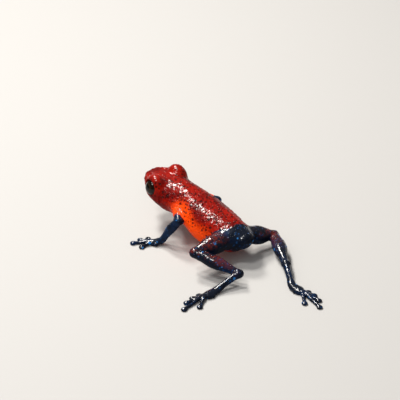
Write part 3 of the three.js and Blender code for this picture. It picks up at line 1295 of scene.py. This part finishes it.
class Wire:
    """A node's output that takes part in Python sums."""

    def __init__(self, graph: Graph, socket: bpy.types.NodeSocket) -> None:
        """Wraps a socket of a graph."""
        self.graph = graph
        self.socket = socket

    def _maths(self, operation: str, a: "Wire | float", b: "Wire | float") -> "Wire":
        """Adds a Math node on two values."""
        sockets = {"Value": a, "Value_001": b}
        return self.graph.wire("ShaderNodeMath", "Value", {"operation": operation}, sockets)

    def __add__(self, other: "Wire | float") -> "Wire":
        """Sum."""
        return self._maths("ADD", self, other)

    def __radd__(self, other: float) -> "Wire":
        """Sum with a plain number first."""
        return self._maths("ADD", other, self)

    def __sub__(self, other: "Wire | float") -> "Wire":
        """Difference."""
        return self._maths("SUBTRACT", self, other)

    def __rsub__(self, other: float) -> "Wire":
        """Difference from a plain number."""
        return self._maths("SUBTRACT", other, self)

    def __mul__(self, other: "Wire | float") -> "Wire":
        """Product."""
        return self._maths("MULTIPLY", self, other)

    def __rmul__(self, other: float) -> "Wire":
        """Product with a plain number first."""
        return self._maths("MULTIPLY", other, self)

    def below(self, other: "Wire | float") -> "Wire":
        """1 where this is less than other."""
        return self._maths("LESS_THAN", self, other)


def tint(red: float, green: float, blue: float) -> Colour:
    """An opaque colour from linear parts."""
    return (red, green, blue, 1.0)


def new_material(name: str) -> tuple[bpy.types.Material, Graph]:
    """Makes an empty material.

    Args:
        name: The material's name.

    Returns:
        The material and the graph of its nodes.
    """
    material = bpy.data.materials.new(name)
    material.use_nodes = True
    material.node_tree.nodes.clear()
    return material, Graph(material.node_tree)


def finish_with(g: Graph, sockets: dict[str, Any]) -> None:
    """Ends a material's graph with its shader and output."""
    shader = g.node("ShaderNodeBsdfPrincipled", {}, sockets)
    g.node("ShaderNodeOutputMaterial", {}, {"Surface": shader.outputs["BSDF"]})


@dataclass(frozen=True)
class Dots:
    """Scattered round dots: cells to the metre, and the smallest and largest radius in cells."""

    scale: float
    small: float
    large: float


@dataclass(frozen=True)
class SkinFinish:
    """Wet granular skin: spotted red on the body, flecked blue-black on the limbs."""

    name: str = "wet_skin"
    deep_red: Colour = tint(0.14, 0.0016, 0.0006)
    red: Colour = tint(0.3, 0.0058, 0.0008)
    # Orange, with the lighter red, paints light onto the flanks over the frog's red; the top keeps the
    # darker red as painted shade.
    orange: Colour = tint(0.92, 0.068, 0.002)
    # Colour of the spots, also used for the painted shade in the mouth line and nostrils.
    spot: Colour = tint(0.018, 0.0015, 0.0015)
    navy: Colour = tint(0.0035, 0.006, 0.014)
    blue: Colour = tint(0.003, 0.015, 0.052)
    mid_blue: Colour = tint(0.01, 0.06, 0.18)
    bright_blue: Colour = tint(0.03, 0.22, 0.6)
    brown: Colour = tint(0.13, 0.012, 0.004)
    spots: Dots = Dots(2250.0, 0.26, 0.5)
    specks: Dots = Dots(2700.0, 0.18, 0.42)
    flecks: Dots = Dots(1200.0, 0.1, 0.3)
    cloud_scale: float = 420.0
    fine_scale: float = 2600.0
    wander_scale: float = 2200.0
    wander: float = 0.00028
    pebble_scale: float = 2400.0
    pebble_depth: float = 0.00015
    roughness: float = 0.45
    dry_specular: float = 0.02
    coat_roughness: float = 0.14
    coat_ior: float = 1.5

    def build(self) -> bpy.types.Material:
        """Makes the material.

        Returns:
            The skin's material.
        """
        material, g = new_material(self.name)
        place = g.wire("ShaderNodeTexCoord", "Object")
        cloud = self._noise(g, "Fac", place, self.cloud_scale, 4.0)
        fine = self._noise(g, "Fac", place, self.fine_scale, 3.0)
        wander = self._noise(g, "Color", place, self.wander_scale, 2.0)
        step = (self.wander,) * 3
        shifted = g.wire(
            "ShaderNodeVectorMath",
            "Vector",
            {"operation": "MULTIPLY_ADD"},
            {"Vector": wander, "Vector_001": step, "Vector_002": place},
        )
        grainy = g.stored(Zone.GRANULAR) * 0.85 + 0.15
        height = self._pebbles(g, shifted) * grainy + fine * 0.07
        sockets = {"Strength": 1.0, "Distance": self.pebble_depth, "Height": height}
        sockets = {
            "Base Color": self._colour(g, shifted, cloud, fine),
            "Roughness": self.roughness + (cloud - 0.5) * 0.2 + (fine - 0.5) * 0.16,
            "Normal": g.wire("ShaderNodeBump", "Normal", {}, sockets),
            "Specular IOR Level": self.dry_specular,
            "Coat Weight": g.stored(Zone.WET),
            "Coat Roughness": self.coat_roughness,
            "Coat IOR": self.coat_ior,
        }
        finish_with(g, sockets)
        return material

    def _noise(self, g: Graph, output: str, place: Wire, scale: float, detail: float) -> Wire:
        """Soft noise, as a number or as a colour."""
        sockets = {"Vector": place, "Scale": scale, "Detail": detail}
        return g.wire("ShaderNodeTexNoise", output, {}, sockets)

    def _dots(self, g: Graph, place: Wire, dots: Dots, share: Wire) -> Wire:
        """Scatters round dots.

        Args:
            g: The tree.
            place: Places that the dots are drawn on.
            dots: Their sizes.
            share: Share of the cells that hold a dot.

        Returns:
            1 inside a dot and 0 outside.
        """
        cells = g.node("ShaderNodeTexVoronoi", {}, {"Vector": place, "Scale": dots.scale})
        parts = g.node("ShaderNodeSeparateColor", {}, {"Color": cells.outputs["Color"]})
        draw = Wire(g, parts.outputs["Red"])
        kept = Wire(g, parts.outputs["Green"]).below(share)
        reach = draw * (dots.large - dots.small) + dots.small
        inside = g.ease(reach - Wire(g, cells.outputs["Distance"]), -0.05, 0.1)
        return inside * kept

    def _pebbles(self, g: Graph, place: Wire) -> Wire:
        """Makes close-set round grains.

        Args:
            g: The tree.
            place: Places that the grains are drawn on.

        Returns:
            Their height, 1 in the middle of a grain.
        """
        sockets = {"Vector": place, "Scale": self.pebble_scale, "Smoothness": 0.5}
        cells = g.node("ShaderNodeTexVoronoi", {"feature": "SMOOTH_F1"}, sockets)
        return 1.0 - Wire(g, cells.outputs["Distance"])

    def _red(self, g: Graph, place: Wire, cloud: Wire, fine: Wire) -> Wire:
        """Paints the body: red with dark spots, painted lighter and orange on the flanks as painted
        light, the top left darker as painted shade.

        Args:
            g: The tree.
            place: Places that the dots are drawn on.
            cloud: Coarse noise.
            fine: Fine noise.

        Returns:
            The colour.
        """
        red = g.mix(g.ease(cloud + (fine - 0.5) * 0.3, 0.38, 0.62), self.deep_red, self.red)
        # Sides painted lighter red, then orange, as light falling on them; the top stays darker as
        # painted shade.
        side = g.stored(Zone.FLANK) + (cloud - 0.5) * 0.4 + (fine - 0.5) * 0.2
        red = g.mix(g.ease(side, 0.1, 0.55) * 0.85, red, self.red)
        red = g.mix(g.ease(side, 0.2, 1.0), red, self.orange)
        spots = self._dots(g, place, self.spots, g.stored(Zone.SPOTTY))
        return g.mix(spots * 0.9, red, self.spot)

    def _blue(self, g: Graph, place: Wire, cloud: Wire, fine: Wire) -> Wire:
        """Paints the limbs: blue-black with a warm patch on each thigh, and blue specks and flecks.

        Args:
            g: The tree.
            place: Places that the dots are drawn on.
            cloud: Coarse noise.
            fine: Fine noise.

        Returns:
            The colour.
        """
        blue = g.mix(g.ease(cloud, 0.45, 0.7), self.navy, self.blue)
        brown = g.stored(Zone.WARM) * g.ease(cloud + (fine - 0.5) * 0.9, 0.34, 0.66)
        blue = g.mix(brown, blue, self.brown)
        specks = self._dots(g, place, self.specks, 0.1 + cloud * 0.5)
        blue = g.mix(specks * 0.6, blue, self.mid_blue)
        flecks = self._dots(g, place, self.flecks, 0.2 + cloud * 0.3)
        return g.mix(flecks * (0.45 + fine * 0.6), blue, self.bright_blue)

    def _colour(self, g: Graph, place: Wire, cloud: Wire, fine: Wire) -> Wire:
        """Paints the whole frog.

        Args:
            g: The tree.
            place: Places that the dots are drawn on.
            cloud: Coarse noise.
            fine: Fine noise.

        Returns:
            The colour.
        """
        red = self._red(g, place, cloud, fine)
        blue = self._blue(g, place, cloud, fine)
        edge = g.ease(g.stored(Zone.LIMB) + (fine - 0.5) * 0.5 + (cloud - 0.5) * 0.3, 0.4, 0.6)
        # Painted shade in the mouth line and nostrils, in the spots' colour.
        return g.mix(g.stored(Zone.DARK) * 0.85, g.mix(edge, red, blue), self.spot)


@dataclass(frozen=True)
class EyeFinish:
    """A polished dark eye with a faint bronze ring round the pupil."""

    name: str = "polished_eye"
    pupil: Colour = tint(0.001, 0.001, 0.001)
    iris: Colour = tint(0.006, 0.0028, 0.0014)
    ring: Colour = tint(0.03, 0.013, 0.004)
    streak_scale: float = 9000.0
    roughness: float = 0.08
    specular: float = 0.24

    def build(self) -> bpy.types.Material:
        """Makes the material.

        Returns:
            The eye's material.
        """
        material, g = new_material(self.name)
        gaze = g.wire("ShaderNodeAttribute", "Fac", {"attribute_name": GAZE})
        place = g.wire("ShaderNodeTexCoord", "Object")
        sockets = {"Vector": place, "Scale": self.streak_scale, "Detail": 2.0}
        streak = g.wire("ShaderNodeTexNoise", "Fac", {}, sockets)
        ring = g.ease(gaze, 0.36, 0.42) * (1.0 - g.ease(gaze, 0.42, 0.6))
        colour = g.mix(g.ease(gaze + (streak - 0.5) * 0.05, 0.34, 0.4), self.pupil, self.iris)
        colour = g.mix(ring * 0.8, colour, self.ring)
        sockets = {
            "Base Color": colour,
            "Roughness": self.roughness,
            "Specular IOR Level": self.specular,
        }
        finish_with(g, sockets)
        return material


@dataclass(frozen=True)
class FloorFinish:
    """Plain pale matt floor."""

    name: str = "pale_floor"
    colour: Colour = tint(0.5, 0.49, 0.478)
    roughness: float = 0.8

    def build(self) -> bpy.types.Material:
        """Makes the material.

        Returns:
            The floor's material.
        """
        material, g = new_material(self.name)
        finish_with(g, {"Base Color": self.colour, "Roughness": self.roughness})
        return material


# Pieces


def mesh_object(
    name: str,
    points: Array,
    faces: Sequence[Sequence[int]],
    material: bpy.types.Material,
) -> bpy.types.Object:
    """Makes a smooth mesh object at the origin.

    Args:
        name: The piece's name.
        points: Places in metres, one row each.
        faces: Point numbers of each face.
        material: The piece's finish.

    Returns:
        The new object.
    """
    mesh = bpy.data.meshes.new(name)
    mesh.from_pydata(points.tolist(), [], faces)
    mesh.polygons.foreach_set("use_smooth", np.ones(len(mesh.polygons), bool))
    mesh.materials.append(material)
    mesh.update()
    made = bpy.data.objects.new(name, mesh)
    bpy.context.scene.collection.objects.link(made)
    return made


def store(mesh: bpy.types.Mesh, name: str, values: Array) -> None:
    """Keeps one number for each point of a mesh."""
    attribute = mesh.attributes.new(name, "FLOAT", "POINT")
    attribute.data.foreach_set("value", np.asarray(values, np.float32))


@dataclass
class Skin:
    """The frog's skin: one closed surface over all its flesh."""

    trunk: Trunk
    head: Head
    limbs: tuple[Limbs, Limbs]
    frog: FrogFrame
    name: str = "skin"
    body_blend: float = 0.05
    arm_blend: float = 0.9
    leg_blend: float = 1.0
    least_block: tuple[Point, Point] = ((-1.5, -4.2, 0.0), (21.0, 4.2, 8.6))
    trunk_block: tuple[Point, Point] = ((-2.2, -4.8, -0.2), (21.2, 4.8, 9.0))
    under_floor: float = -0.3
    sleeve: Bone = Bone(0.08, (0.85, 0.8, 0.7, 0.6))
    thigh: Bone = Bone(0.12, (1.3, 1.4, 1.3, 1.05, 0.78))
    shank: Bone = Bone(0.1, (0.76, 0.98, 1.0, 0.78, 0.56))
    fray: Rough = Rough(wavelength=0.9, height=1.0, seed=3)
    coarse_lump: Rough = Rough(wavelength=0.62, height=0.022, seed=11)
    fine_lump: Rough = Rough(wavelength=0.31, height=0.014, seed=12)
    ear_rim: float = 0.06
    ear_dip: float = 0.05
    hip_ridge: float = 0.09
    spine_groove: float = 0.05
    groin_fold: float = 0.022
    fold_spacing: float = 0.52
    pebble_spacing: float = 0.46
    pebble_height: float = 0.034
    pebble_seed: int = 21
    crease_radius: float = 0.05
    dark_nostril: Sizes = (0.16, 0.16, 0.14)

    def _grid(self) -> Grid:
        """Joins trunk, head and limbs.

        Returns:
            The whole frog as distances, cut level at the floor.
        """
        legs = [(limb.foreleg(), self.arm_blend) for limb in self.limbs]
        legs += [(limb.hind_leg(), self.leg_blend) for limb in self.limbs]
        least_low, least_high = self.least_block
        low = np.min([g.first * Grid.STEP for g, _ in legs] + [least_low], axis=0)
        high = np.max([g.last * Grid.STEP for g, _ in legs] + [least_high], axis=0)
        low[2] = self.under_floor
        grid = Grid(low, high)
        body = Grid(*self.trunk_block)
        body.values[...] = self.trunk.distance(*body.axes)
        grid.merge(body, self.body_blend)
        self.head.shape(grid)
        for leg, soft in legs:
            grid.merge(leg, soft)
        _, _, z = grid.axes
        grid.values = np.maximum(grid.values, -z).astype(np.float32)
        return grid

    def _sleeves(self, p: Array, near: Array) -> Array:
        """Finds the red upper part of each foreleg.

        Args:
            p: Points in the frog's millimetres.
            near: Noise that frays its lower end.

        Returns:
            1 in a sleeve and 0 outside.
        """
        inside = np.zeros(len(p))
        for limbs in self.limbs:
            start, end = limbs.at(limbs.shoulder), limbs.at(limbs.elbow)
            along = (p - start) @ (end - start) / ((end - start) @ (end - start))
            upper = limbs.bone(limbs.shoulder, limbs.elbow, self.sleeve)
            cuff = smooth_step(0.95, 0.6, along + near * 0.12)
            inside = np.maximum(inside, cuff * smooth_step(0.45, 0.15, upper.distance(*p.T)))
        return inside

    def _leg_gap(self, p: Array) -> Array:
        """Measures how far points lie from the hind legs.

        Args:
            p: Points in the frog's millimetres.

        Returns:
            Distance from the nearest thigh or shank.
        """
        bones: list[Tube] = []
        for limbs in self.limbs:
            bones.append(limbs.bone(limbs.hip, limbs.knee, self.thigh))
            bones.append(limbs.bone(limbs.knee, limbs.heel, self.shank))
        return np.min([bone.distance(*p.T) for bone in bones], axis=0)

    def _zones(self, p: Array, up: Array) -> dict[Zone, Array]:
        """Works out the numbers that steer the skin's colour.

        Args:
            p: Points in the frog's millimetres.
            up: How far each point faces upward, from -1 to 1.

        Returns:
            One number for each point and zone.
        """
        f, l, z = p.T
        near = self.fray.read(p)
        body = self.trunk.distance(f, l, z)
        leg = self._leg_gap(p)
        head = smooth_step(12.0, 13.4, f) * smooth_step(2.2, 3.4, z)
        off_body = smooth_step(0.0, 0.8, body + near * 0.2) * (1.0 - head)
        off_body = off_body * (1.0 - self._sleeves(p, near))
        hip = smooth_step(0.35, -0.35, leg - body + near * 0.3)
        hip = hip * smooth_step(4.6, 3.2, f + 0.6 * near)
        tail = smooth_step(2.3, 0.9, f + near * 0.6)
        limb = np.maximum(np.maximum(off_body, hip), tail)
        rise = self.trunk.rise(f, z)
        # Flanks, and a patch behind the shoulder, painted lighter and orange as light falling on the
        # sides.
        flank = bump(f, 7.2, 5.2) * smooth_step(0.98, -0.2, rise)
        flank = flank + 0.7 * bump(f, 9.9, 2.0) * bump(rise, 0.4, 0.42)
        spotty = smooth_step(-0.4, 0.35, rise - 0.4 * flank) * smooth_step(18.5, 12.5, f) * 0.85
        right_knee = 0.5 + 0.5 * bump(l, -5.9, 0.9)
        thigh = smooth_step(0.8, 0.2, leg) * smooth_step(2.0, 3.6, np.abs(l))
        thigh = thigh * np.where(l > 0, 0.95, right_knee)
        warm = smooth_step(0.1, 0.7, up) * smooth_step(-4.5, 1.5, f) * (f < 8) * thigh
        return {
            Zone.LIMB: limb,
            Zone.FLANK: np.clip(flank, 0, 1),
            Zone.SPOTTY: spotty,
            Zone.WARM: warm,
            Zone.DARK: self._creases(p),
            Zone.GRANULAR: self._grain_share(p, up, limb),
            Zone.WET: 0.12 + smooth_step(0.3, 0.8, up) * (0.5 + 0.38 * limb),
        }

    def _relief(self, p: Array) -> Array:
        """Raises lumps, ear discs and the ridges over the hip bones, and sinks the groin's folds.

        Args:
            p: Points in the frog's millimetres.

        Returns:
            How far each point is raised.
        """
        f, l, z = p.T
        rise = self.trunk.rise(f, z)
        lumps = self.coarse_lump.read(p) + self.fine_lump.read(p)
        lumps = lumps * (1.0 - 0.65 * smooth_step(14.0, 16.0, f))
        gap = self.head.ear_gap(f, l, z)
        ear = self.ear_rim * bump(gap, 1.0, 0.22) - self.ear_dip * smooth_step(1.0, 0.75, gap)
        on_back = smooth_step(0.5, 0.9, rise) * (np.abs(l) < 3.0)
        hips = self.hip_ridge * bump(np.abs(l), 0.5 + 0.09 * f, 0.4) * bump(f, 4.6, 3.2) * on_back
        mid_back = smooth_step(1.5, 4.0, f) * smooth_step(13.0, 10.0, f) * on_back
        spine = -self.spine_groove * bump(l, 0.0, 0.5) * mid_back
        waves = np.sin((f * 0.9 + z * 0.45) * 2 * math.pi / self.fold_spacing)
        groin = bump(f, 4.9, 0.9) * bump(rise, -0.1, 0.5) * (np.abs(l) < 4.0)
        folds = self.groin_fold * waves * groin
        return (lumps + ear + hips + spine + folds) * smooth_step(0.05, 0.5, z)

    def _grain_share(self, p: Array, up: Array, limb: Array) -> Array:
        """Works out how close-set the grains stand: most on the back, none on toes, lids and ears.

        Args:
            p: Points in the frog's millimetres.
            up: How far each point faces upward.
            limb: How far each point has the limbs' blue skin.

        Returns:
            Share of the full density.
        """
        f, l, z = p.T
        bare = smooth_step(1.15, 0.9, self.head.ear_gap(f, l, z))
        for eye in self.head.eyes:
            gap = np.linalg.norm(p - np.array(eye.centre), axis=1)
            bare = np.maximum(bare, smooth_step(2.3, 1.5, gap))
        body = smooth_step(-0.6, 0.3, up) * (1.0 - 0.75 * smooth_step(15.0, 18.5, f))
        legs = 0.4 * smooth_step(0.9, 1.8, z) * smooth_step(-0.3, 0.5, up)
        return (body * (1.0 - limb) + legs * limb) * (1.0 - bare)

    def _creases(self, p: Array) -> Array:
        """Paints shade into the mouth line and the nostrils, and darkens the ear discs a little.

        Args:
            p: Points in the frog's millimetres.

        Returns:
            How dark each point is.
        """
        f, l, z = p.T
        radii = (self.crease_radius,) * 2
        mouth = Tube(self.head.mouth_line(), radii, steps=self.head.mouth_steps)
        dark = smooth_step(0.15, 0.05, mouth.distance(f, l, z))
        for side in Side:
            nostril = Ball(self.trunk.side(*self.head.nostril, side), self.dark_nostril)
            dark = np.maximum(dark, smooth_step(0.1, -0.02, nostril.distance(f, l, z)))
        return np.maximum(dark, 0.3 * smooth_step(1.0, 0.8, self.head.ear_gap(f, l, z)))

    def build(self, material: bpy.types.Material) -> bpy.types.Object:
        """Makes the skin.

        Args:
            material: The skin's finish.

        Returns:
            The skin's object.
        """
        surface = Surface(self._grid())
        normals = surface.slopes(surface.points)
        points = surface.places
        zones = self._zones(points, normals[:, 2])
        pebbles = Pebbles(self.pebble_spacing, self.pebble_seed)(points) * zones[Zone.GRANULAR]
        pebbles = self.pebble_height * pebbles * smooth_step(0.3, 0.9, points[:, 2])
        height = self._relief(points) + pebbles
        points = self.frog.place(points + normals * height[:, None])
        made = mesh_object(self.name, points, surface.quads.tolist(), material)
        for zone, values in zones.items():
            store(made.data, zone.value, values)
        return made


@dataclass
class Eyeball:
    """One eye: a ball with a slightly raised clear front, black pupil and dark iris."""

    eye: Eye
    frog: FrogFrame
    rings: int = 40
    sides: int = 56
    bulge: float = 0.07
    bulge_reach: float = 0.75
    pupil_stretch: tuple[float, float] = (0.85, 1.15)

    @property
    def name(self) -> str:
        """The piece's name."""
        return f"eyeball_{self.eye.side.label}"

    def build(self, material: bpy.types.Material) -> bpy.types.Object:
        """Makes the eyeball, its poles on the line of its gaze.

        Args:
            material: The eye's finish.

        Returns:
            The eyeball's object.
        """
        points, gaze = [], []
        wide, high = self.pupil_stretch
        for i in range(self.rings + 1):
            angle = math.pi * i / self.rings
            swell = self.bulge * math.exp(-((angle / self.bulge_reach) ** 2))
            radius = self.eye.radius * (1.0 + swell)
            count = 1 if i in (0, self.rings) else self.sides
            for k in range(count):
                turn = 2 * math.pi * k / self.sides
                along = radius * math.sin(angle) * math.cos(turn)
                across = radius * math.sin(angle) * math.sin(turn)
                points.append(self.eye.untwist(along, radius * math.cos(angle), across))
                gaze.append(angle * math.hypot(math.cos(turn) * wide, math.sin(turn) * high))
        faces = self._faces()
        if self.eye.side is Side.RIGHT:
            faces = [face[::-1] for face in faces]
        made = mesh_object(self.name, self.frog.place(np.array(points)), faces, material)
        store(made.data, GAZE, np.array(gaze))
        return made

    def _faces(self) -> list[list[int]]:
        """Joins the ball's points.

        Returns:
            Point numbers of each face, from the front pole to the back one.
        """
        n, faces = self.sides, []
        last = 1 + (self.rings - 1) * n
        for k in range(n):
            after = (k + 1) % n
            faces.append([0, 1 + after, 1 + k])
            for i in range(self.rings - 2):
                a = 1 + i * n
                faces.append([a + k, a + after, a + n + after, a + n + k])
            faces.append([last - n + k, last - n + after, last])
        return faces


@dataclass
class Granules:
    """Small raised grains scattered over the skin of the back, flanks and thighs."""

    name: str = "granules"
    spacing: float = 0.24
    radius: float = 0.12
    flatness: float = 0.34
    seed: int = 7
    most_per_square_metre: float = 3.0e7
    size_range: tuple[float, float] = (0.6, 1.15)
    segments: int = 8
    rings: int = 5

    def _tree(self) -> bpy.types.NodeTree:
        """Builds the scattering tree with its named inputs.

        Returns:
            The tree.
        """
        tree = bpy.data.node_groups.new("scatter_granules", "GeometryNodeTree")
        face = tree.interface
        face.new_socket("Skin", in_out="INPUT", socket_type="NodeSocketGeometry")
        for name in ("Spacing", "Radius", "Flatness"):
            face.new_socket(name, in_out="INPUT", socket_type="NodeSocketFloat")
        face.new_socket("Seed", in_out="INPUT", socket_type="NodeSocketInt")
        face.new_socket("Finish", in_out="INPUT", socket_type="NodeSocketMaterial")
        grains = face.new_socket("Grains", in_out="OUTPUT", socket_type="NodeSocketGeometry")
        g = Graph(tree)
        given = g.node("NodeGroupInput").outputs
        sockets = {"Name": Zone.GRANULAR.value}
        share = g.node("GeometryNodeInputNamedAttribute", {"data_type": "FLOAT"}, sockets)
        points = g.node(
            "GeometryNodeDistributePointsOnFaces",
            {"distribute_method": "POISSON"},
            {
                "Mesh": given["Skin"],
                "Distance Min": given["Spacing"],
                "Density Max": self.most_per_square_metre,
                "Density Factor": share.outputs["Attribute"],
                "Seed": given["Seed"],
            },
        )
        sockets = {"Segments": self.segments, "Rings": self.rings, "Radius": 1.0}
        grain = g.node("GeometryNodeMeshUVSphere", {}, sockets)
        smooth = g.node("GeometryNodeSetShadeSmooth", {}, {"Geometry": grain.outputs["Mesh"]})
        smallest, largest = self.size_range
        sockets = {"Min_001": smallest, "Max_001": largest}
        draw = g.node("FunctionNodeRandomValue", {"data_type": "FLOAT"}, sockets)
        size = Wire(g, draw.outputs[1]) * Wire(g, given["Radius"])
        sockets = {"X": size, "Y": size, "Z": size * Wire(g, given["Flatness"])}
        scale = g.node("ShaderNodeCombineXYZ", {}, sockets)
        placed = g.node(
            "GeometryNodeInstanceOnPoints",
            {},
            {
                "Points": points.outputs["Points"],
                "Instance": smooth.outputs["Geometry"],
                "Rotation": points.outputs["Rotation"],
                "Scale": scale.outputs["Vector"],
            },
        )
        solid = g.node("GeometryNodeRealizeInstances", {}, {"Geometry": placed.outputs["Instances"]})
        sockets = {"Geometry": solid.outputs["Geometry"], "Material": given["Finish"]}
        dressed = g.node("GeometryNodeSetMaterial", {}, sockets)
        g.node("NodeGroupOutput", {}, {grains.identifier: dressed.outputs["Geometry"]})
        return tree

    def build(self, skin: bpy.types.Object, material: bpy.types.Material) -> bpy.types.Object:
        """Scatters the grains over the skin.

        Args:
            skin: The skin's object.
            material: The grains' finish, the skin's own.

        Returns:
            The grains as one object.
        """
        tree = self._tree()
        carrier = bpy.data.objects.new(self.name, skin.data.copy())
        bpy.context.scene.collection.objects.link(carrier)
        modifier = carrier.modifiers.new("scatter", "NODES")
        modifier.node_group = tree
        values = {
            "Spacing": self.spacing * MM,
            "Radius": self.radius * MM,
            "Flatness": self.flatness,
            "Seed": self.seed,
            "Finish": material,
        }
        for item in tree.interface.items_tree:
            if item.in_out == "INPUT" and item.name in values:
                modifier[item.identifier] = values[item.name]
        bpy.context.view_layer.update()
        depsgraph = bpy.context.evaluated_depsgraph_get()
        mesh = bpy.data.meshes.new_from_object(carrier.evaluated_get(depsgraph))
        carrier.modifiers.clear()
        old = carrier.data
        carrier.data = mesh
        bpy.data.meshes.remove(old)
        mesh.name = self.name
        return carrier


@dataclass(frozen=True)
class Lamp:
    """A soft square light: its direction, its side in millimetres, its watts and its colour."""

    name: str
    toward: Point
    size: float
    power: float
    colour: Point = (1.0, 0.98, 0.95)
    mirrored: bool = True


@dataclass
class Studio:
    """Floor, lights and camera."""

    frog: FrogFrame
    heading: float = math.radians(44)
    elevation: float = math.radians(31)
    distance: float = 380.0
    photo_side: float = 400.0
    pixels_per_mm: float = 7.1
    seen_point: Point = (0.0, 0.0, 5.5)
    seen_pixel: tuple[float, float] = (246.0, 230.0)
    sensor: float = 36.0
    clip: tuple[float, float] = (0.005, 10.0)
    lamps: tuple[Lamp, ...] = (
        Lamp("key", (0.61, -0.16, 0.77), 52.0, 0.5, (1.0, 0.97, 0.92)),
        Lamp("high_key", (0.36, 0.12, 0.92), 52.0, 0.43, (1.0, 0.97, 0.92)),
        Lamp("leg_glint", (0.0, 0.43, 0.9), 42.0, 0.2),
        Lamp("fill", (-0.5, 0.95, 0.65), 320.0, 0.36, mirrored=False),
    )
    lamp_aim: Point = (8.0, 0.0, 4.0)
    lamp_distance: float = 260.0
    floor_half: float = 1.5
    glow: Colour = tint(0.95, 0.97, 1.0)
    glow_strength: float = 0.14

    def camera(self) -> None:
        """Sets the camera at the photo's angle, with the photo's framing."""
        ahead = np.array([math.cos(self.heading), -math.sin(self.heading), 0.0])
        right = np.array([-math.sin(self.heading), -math.cos(self.heading), 0.0])
        up = np.array([0.0, 0.0, 1.0])
        cos, sin = math.cos(self.elevation), math.sin(self.elevation)
        away = -ahead * cos + up * sin
        upward = ahead * sin + up * cos
        middle = self.photo_side / 2
        x = (middle - self.seen_pixel[0]) / self.pixels_per_mm
        y = (self.seen_pixel[1] - middle) / self.pixels_per_mm
        target = np.array(self.seen_point) + right * x + upward * y
        data = bpy.data.cameras.new("camera")
        data.sensor_width = self.sensor
        data.lens = self.sensor * self.distance / (self.photo_side / self.pixels_per_mm)
        data.clip_start, data.clip_end = self.clip
        camera = bpy.data.objects.new("camera", data)
        camera.location = self.frog.vector(tuple(target + away * self.distance))
        look = self.frog.vector(tuple(target)) - camera.location
        camera.rotation_euler = look.to_track_quat("-Z", "Y").to_euler()
        bpy.context.scene.collection.objects.link(camera)
        bpy.context.scene.camera = camera

    def light(self, lamp: Lamp) -> None:
        """Hangs one light.

        Args:
            lamp: Its place, size and power. Wet skin shows its image only if it is mirrored.
        """
        data = bpy.data.lights.new(lamp.name, "AREA")
        data.size = lamp.size * MM
        data.energy = lamp.power
        data.color = lamp.colour
        made = bpy.data.objects.new(lamp.name, data)
        made.visible_glossy = lamp.mirrored
        way = np.array(lamp.toward) / np.linalg.norm(lamp.toward)
        made.location = self.frog.vector(tuple(np.array(self.lamp_aim) + way * self.lamp_distance))
        look = self.frog.vector(self.lamp_aim) - made.location
        made.rotation_euler = look.to_track_quat("-Z", "Y").to_euler()
        bpy.context.scene.collection.objects.link(made)

    def floor(self) -> None:
        """Lays the plain pale floor."""
        signs = ((-1, -1, 0), (1, -1, 0), (1, 1, 0), (-1, 1, 0))
        corners = np.array(signs, float) * self.floor_half
        floor = mesh_object("floor", corners, [(0, 1, 2, 3)], FloorFinish().build())

    def world(self) -> None:
        """Sets the pale soft surroundings."""
        world = bpy.data.worlds.new("soft_room")
        world.use_nodes = True
        world.node_tree.nodes.clear()
        g = Graph(world.node_tree)
        sockets = {"Color": self.glow, "Strength": self.glow_strength}
        glow = g.node("ShaderNodeBackground", {}, sockets)
        g.node("ShaderNodeOutputWorld", {}, {"Surface": glow.outputs["Background"]})
        bpy.context.scene.world = world
        bpy.context.scene.view_settings.view_transform = "Standard"

    def build(self) -> None:
        """Sets up everything round the frog."""
        self.floor()
        self.world()
        for lamp in self.lamps:
            self.light(lamp)
        self.camera()


def settle(piece: bpy.types.Object, nodes: Sequence[str]) -> None:
    """Fixes a piece to the frame and reports it.

    Args:
        piece: The finished piece.
        nodes: The solids that it stands for.
    """
    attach(piece, BODY)
    if nodes:
        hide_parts(*nodes)
    triangles = sum(len(p.vertices) - 2 for p in piece.data.polygons)
    LOG.info("%s: %d triangles", piece.name, triangles)


def main() -> None:
    """Builds the frog and its surroundings."""
    logging.basicConfig(level=logging.INFO, format="%(name)s %(message)s")
    trunk = Trunk()
    head = Head(trunk)
    frog = FrogFrame(head.eyes[0].centre)
    Studio(frog).build()
    skin_finish, eye_finish = SkinFinish().build(), EyeFinish().build()
    skin = Skin(trunk, head, (LEFT_LIMBS, RIGHT_LIMBS), frog).build(skin_finish)
    flesh = sorted(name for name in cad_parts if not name.startswith("eye_"))
    settle(skin, flesh)
    settle(Granules().build(skin, skin_finish), ())
    for eye in head.eyes:
        settle(Eyeball(eye, frog).build(eye_finish), [f"eye_{eye.side.label}"])


if __name__ == "__main__":
    main()
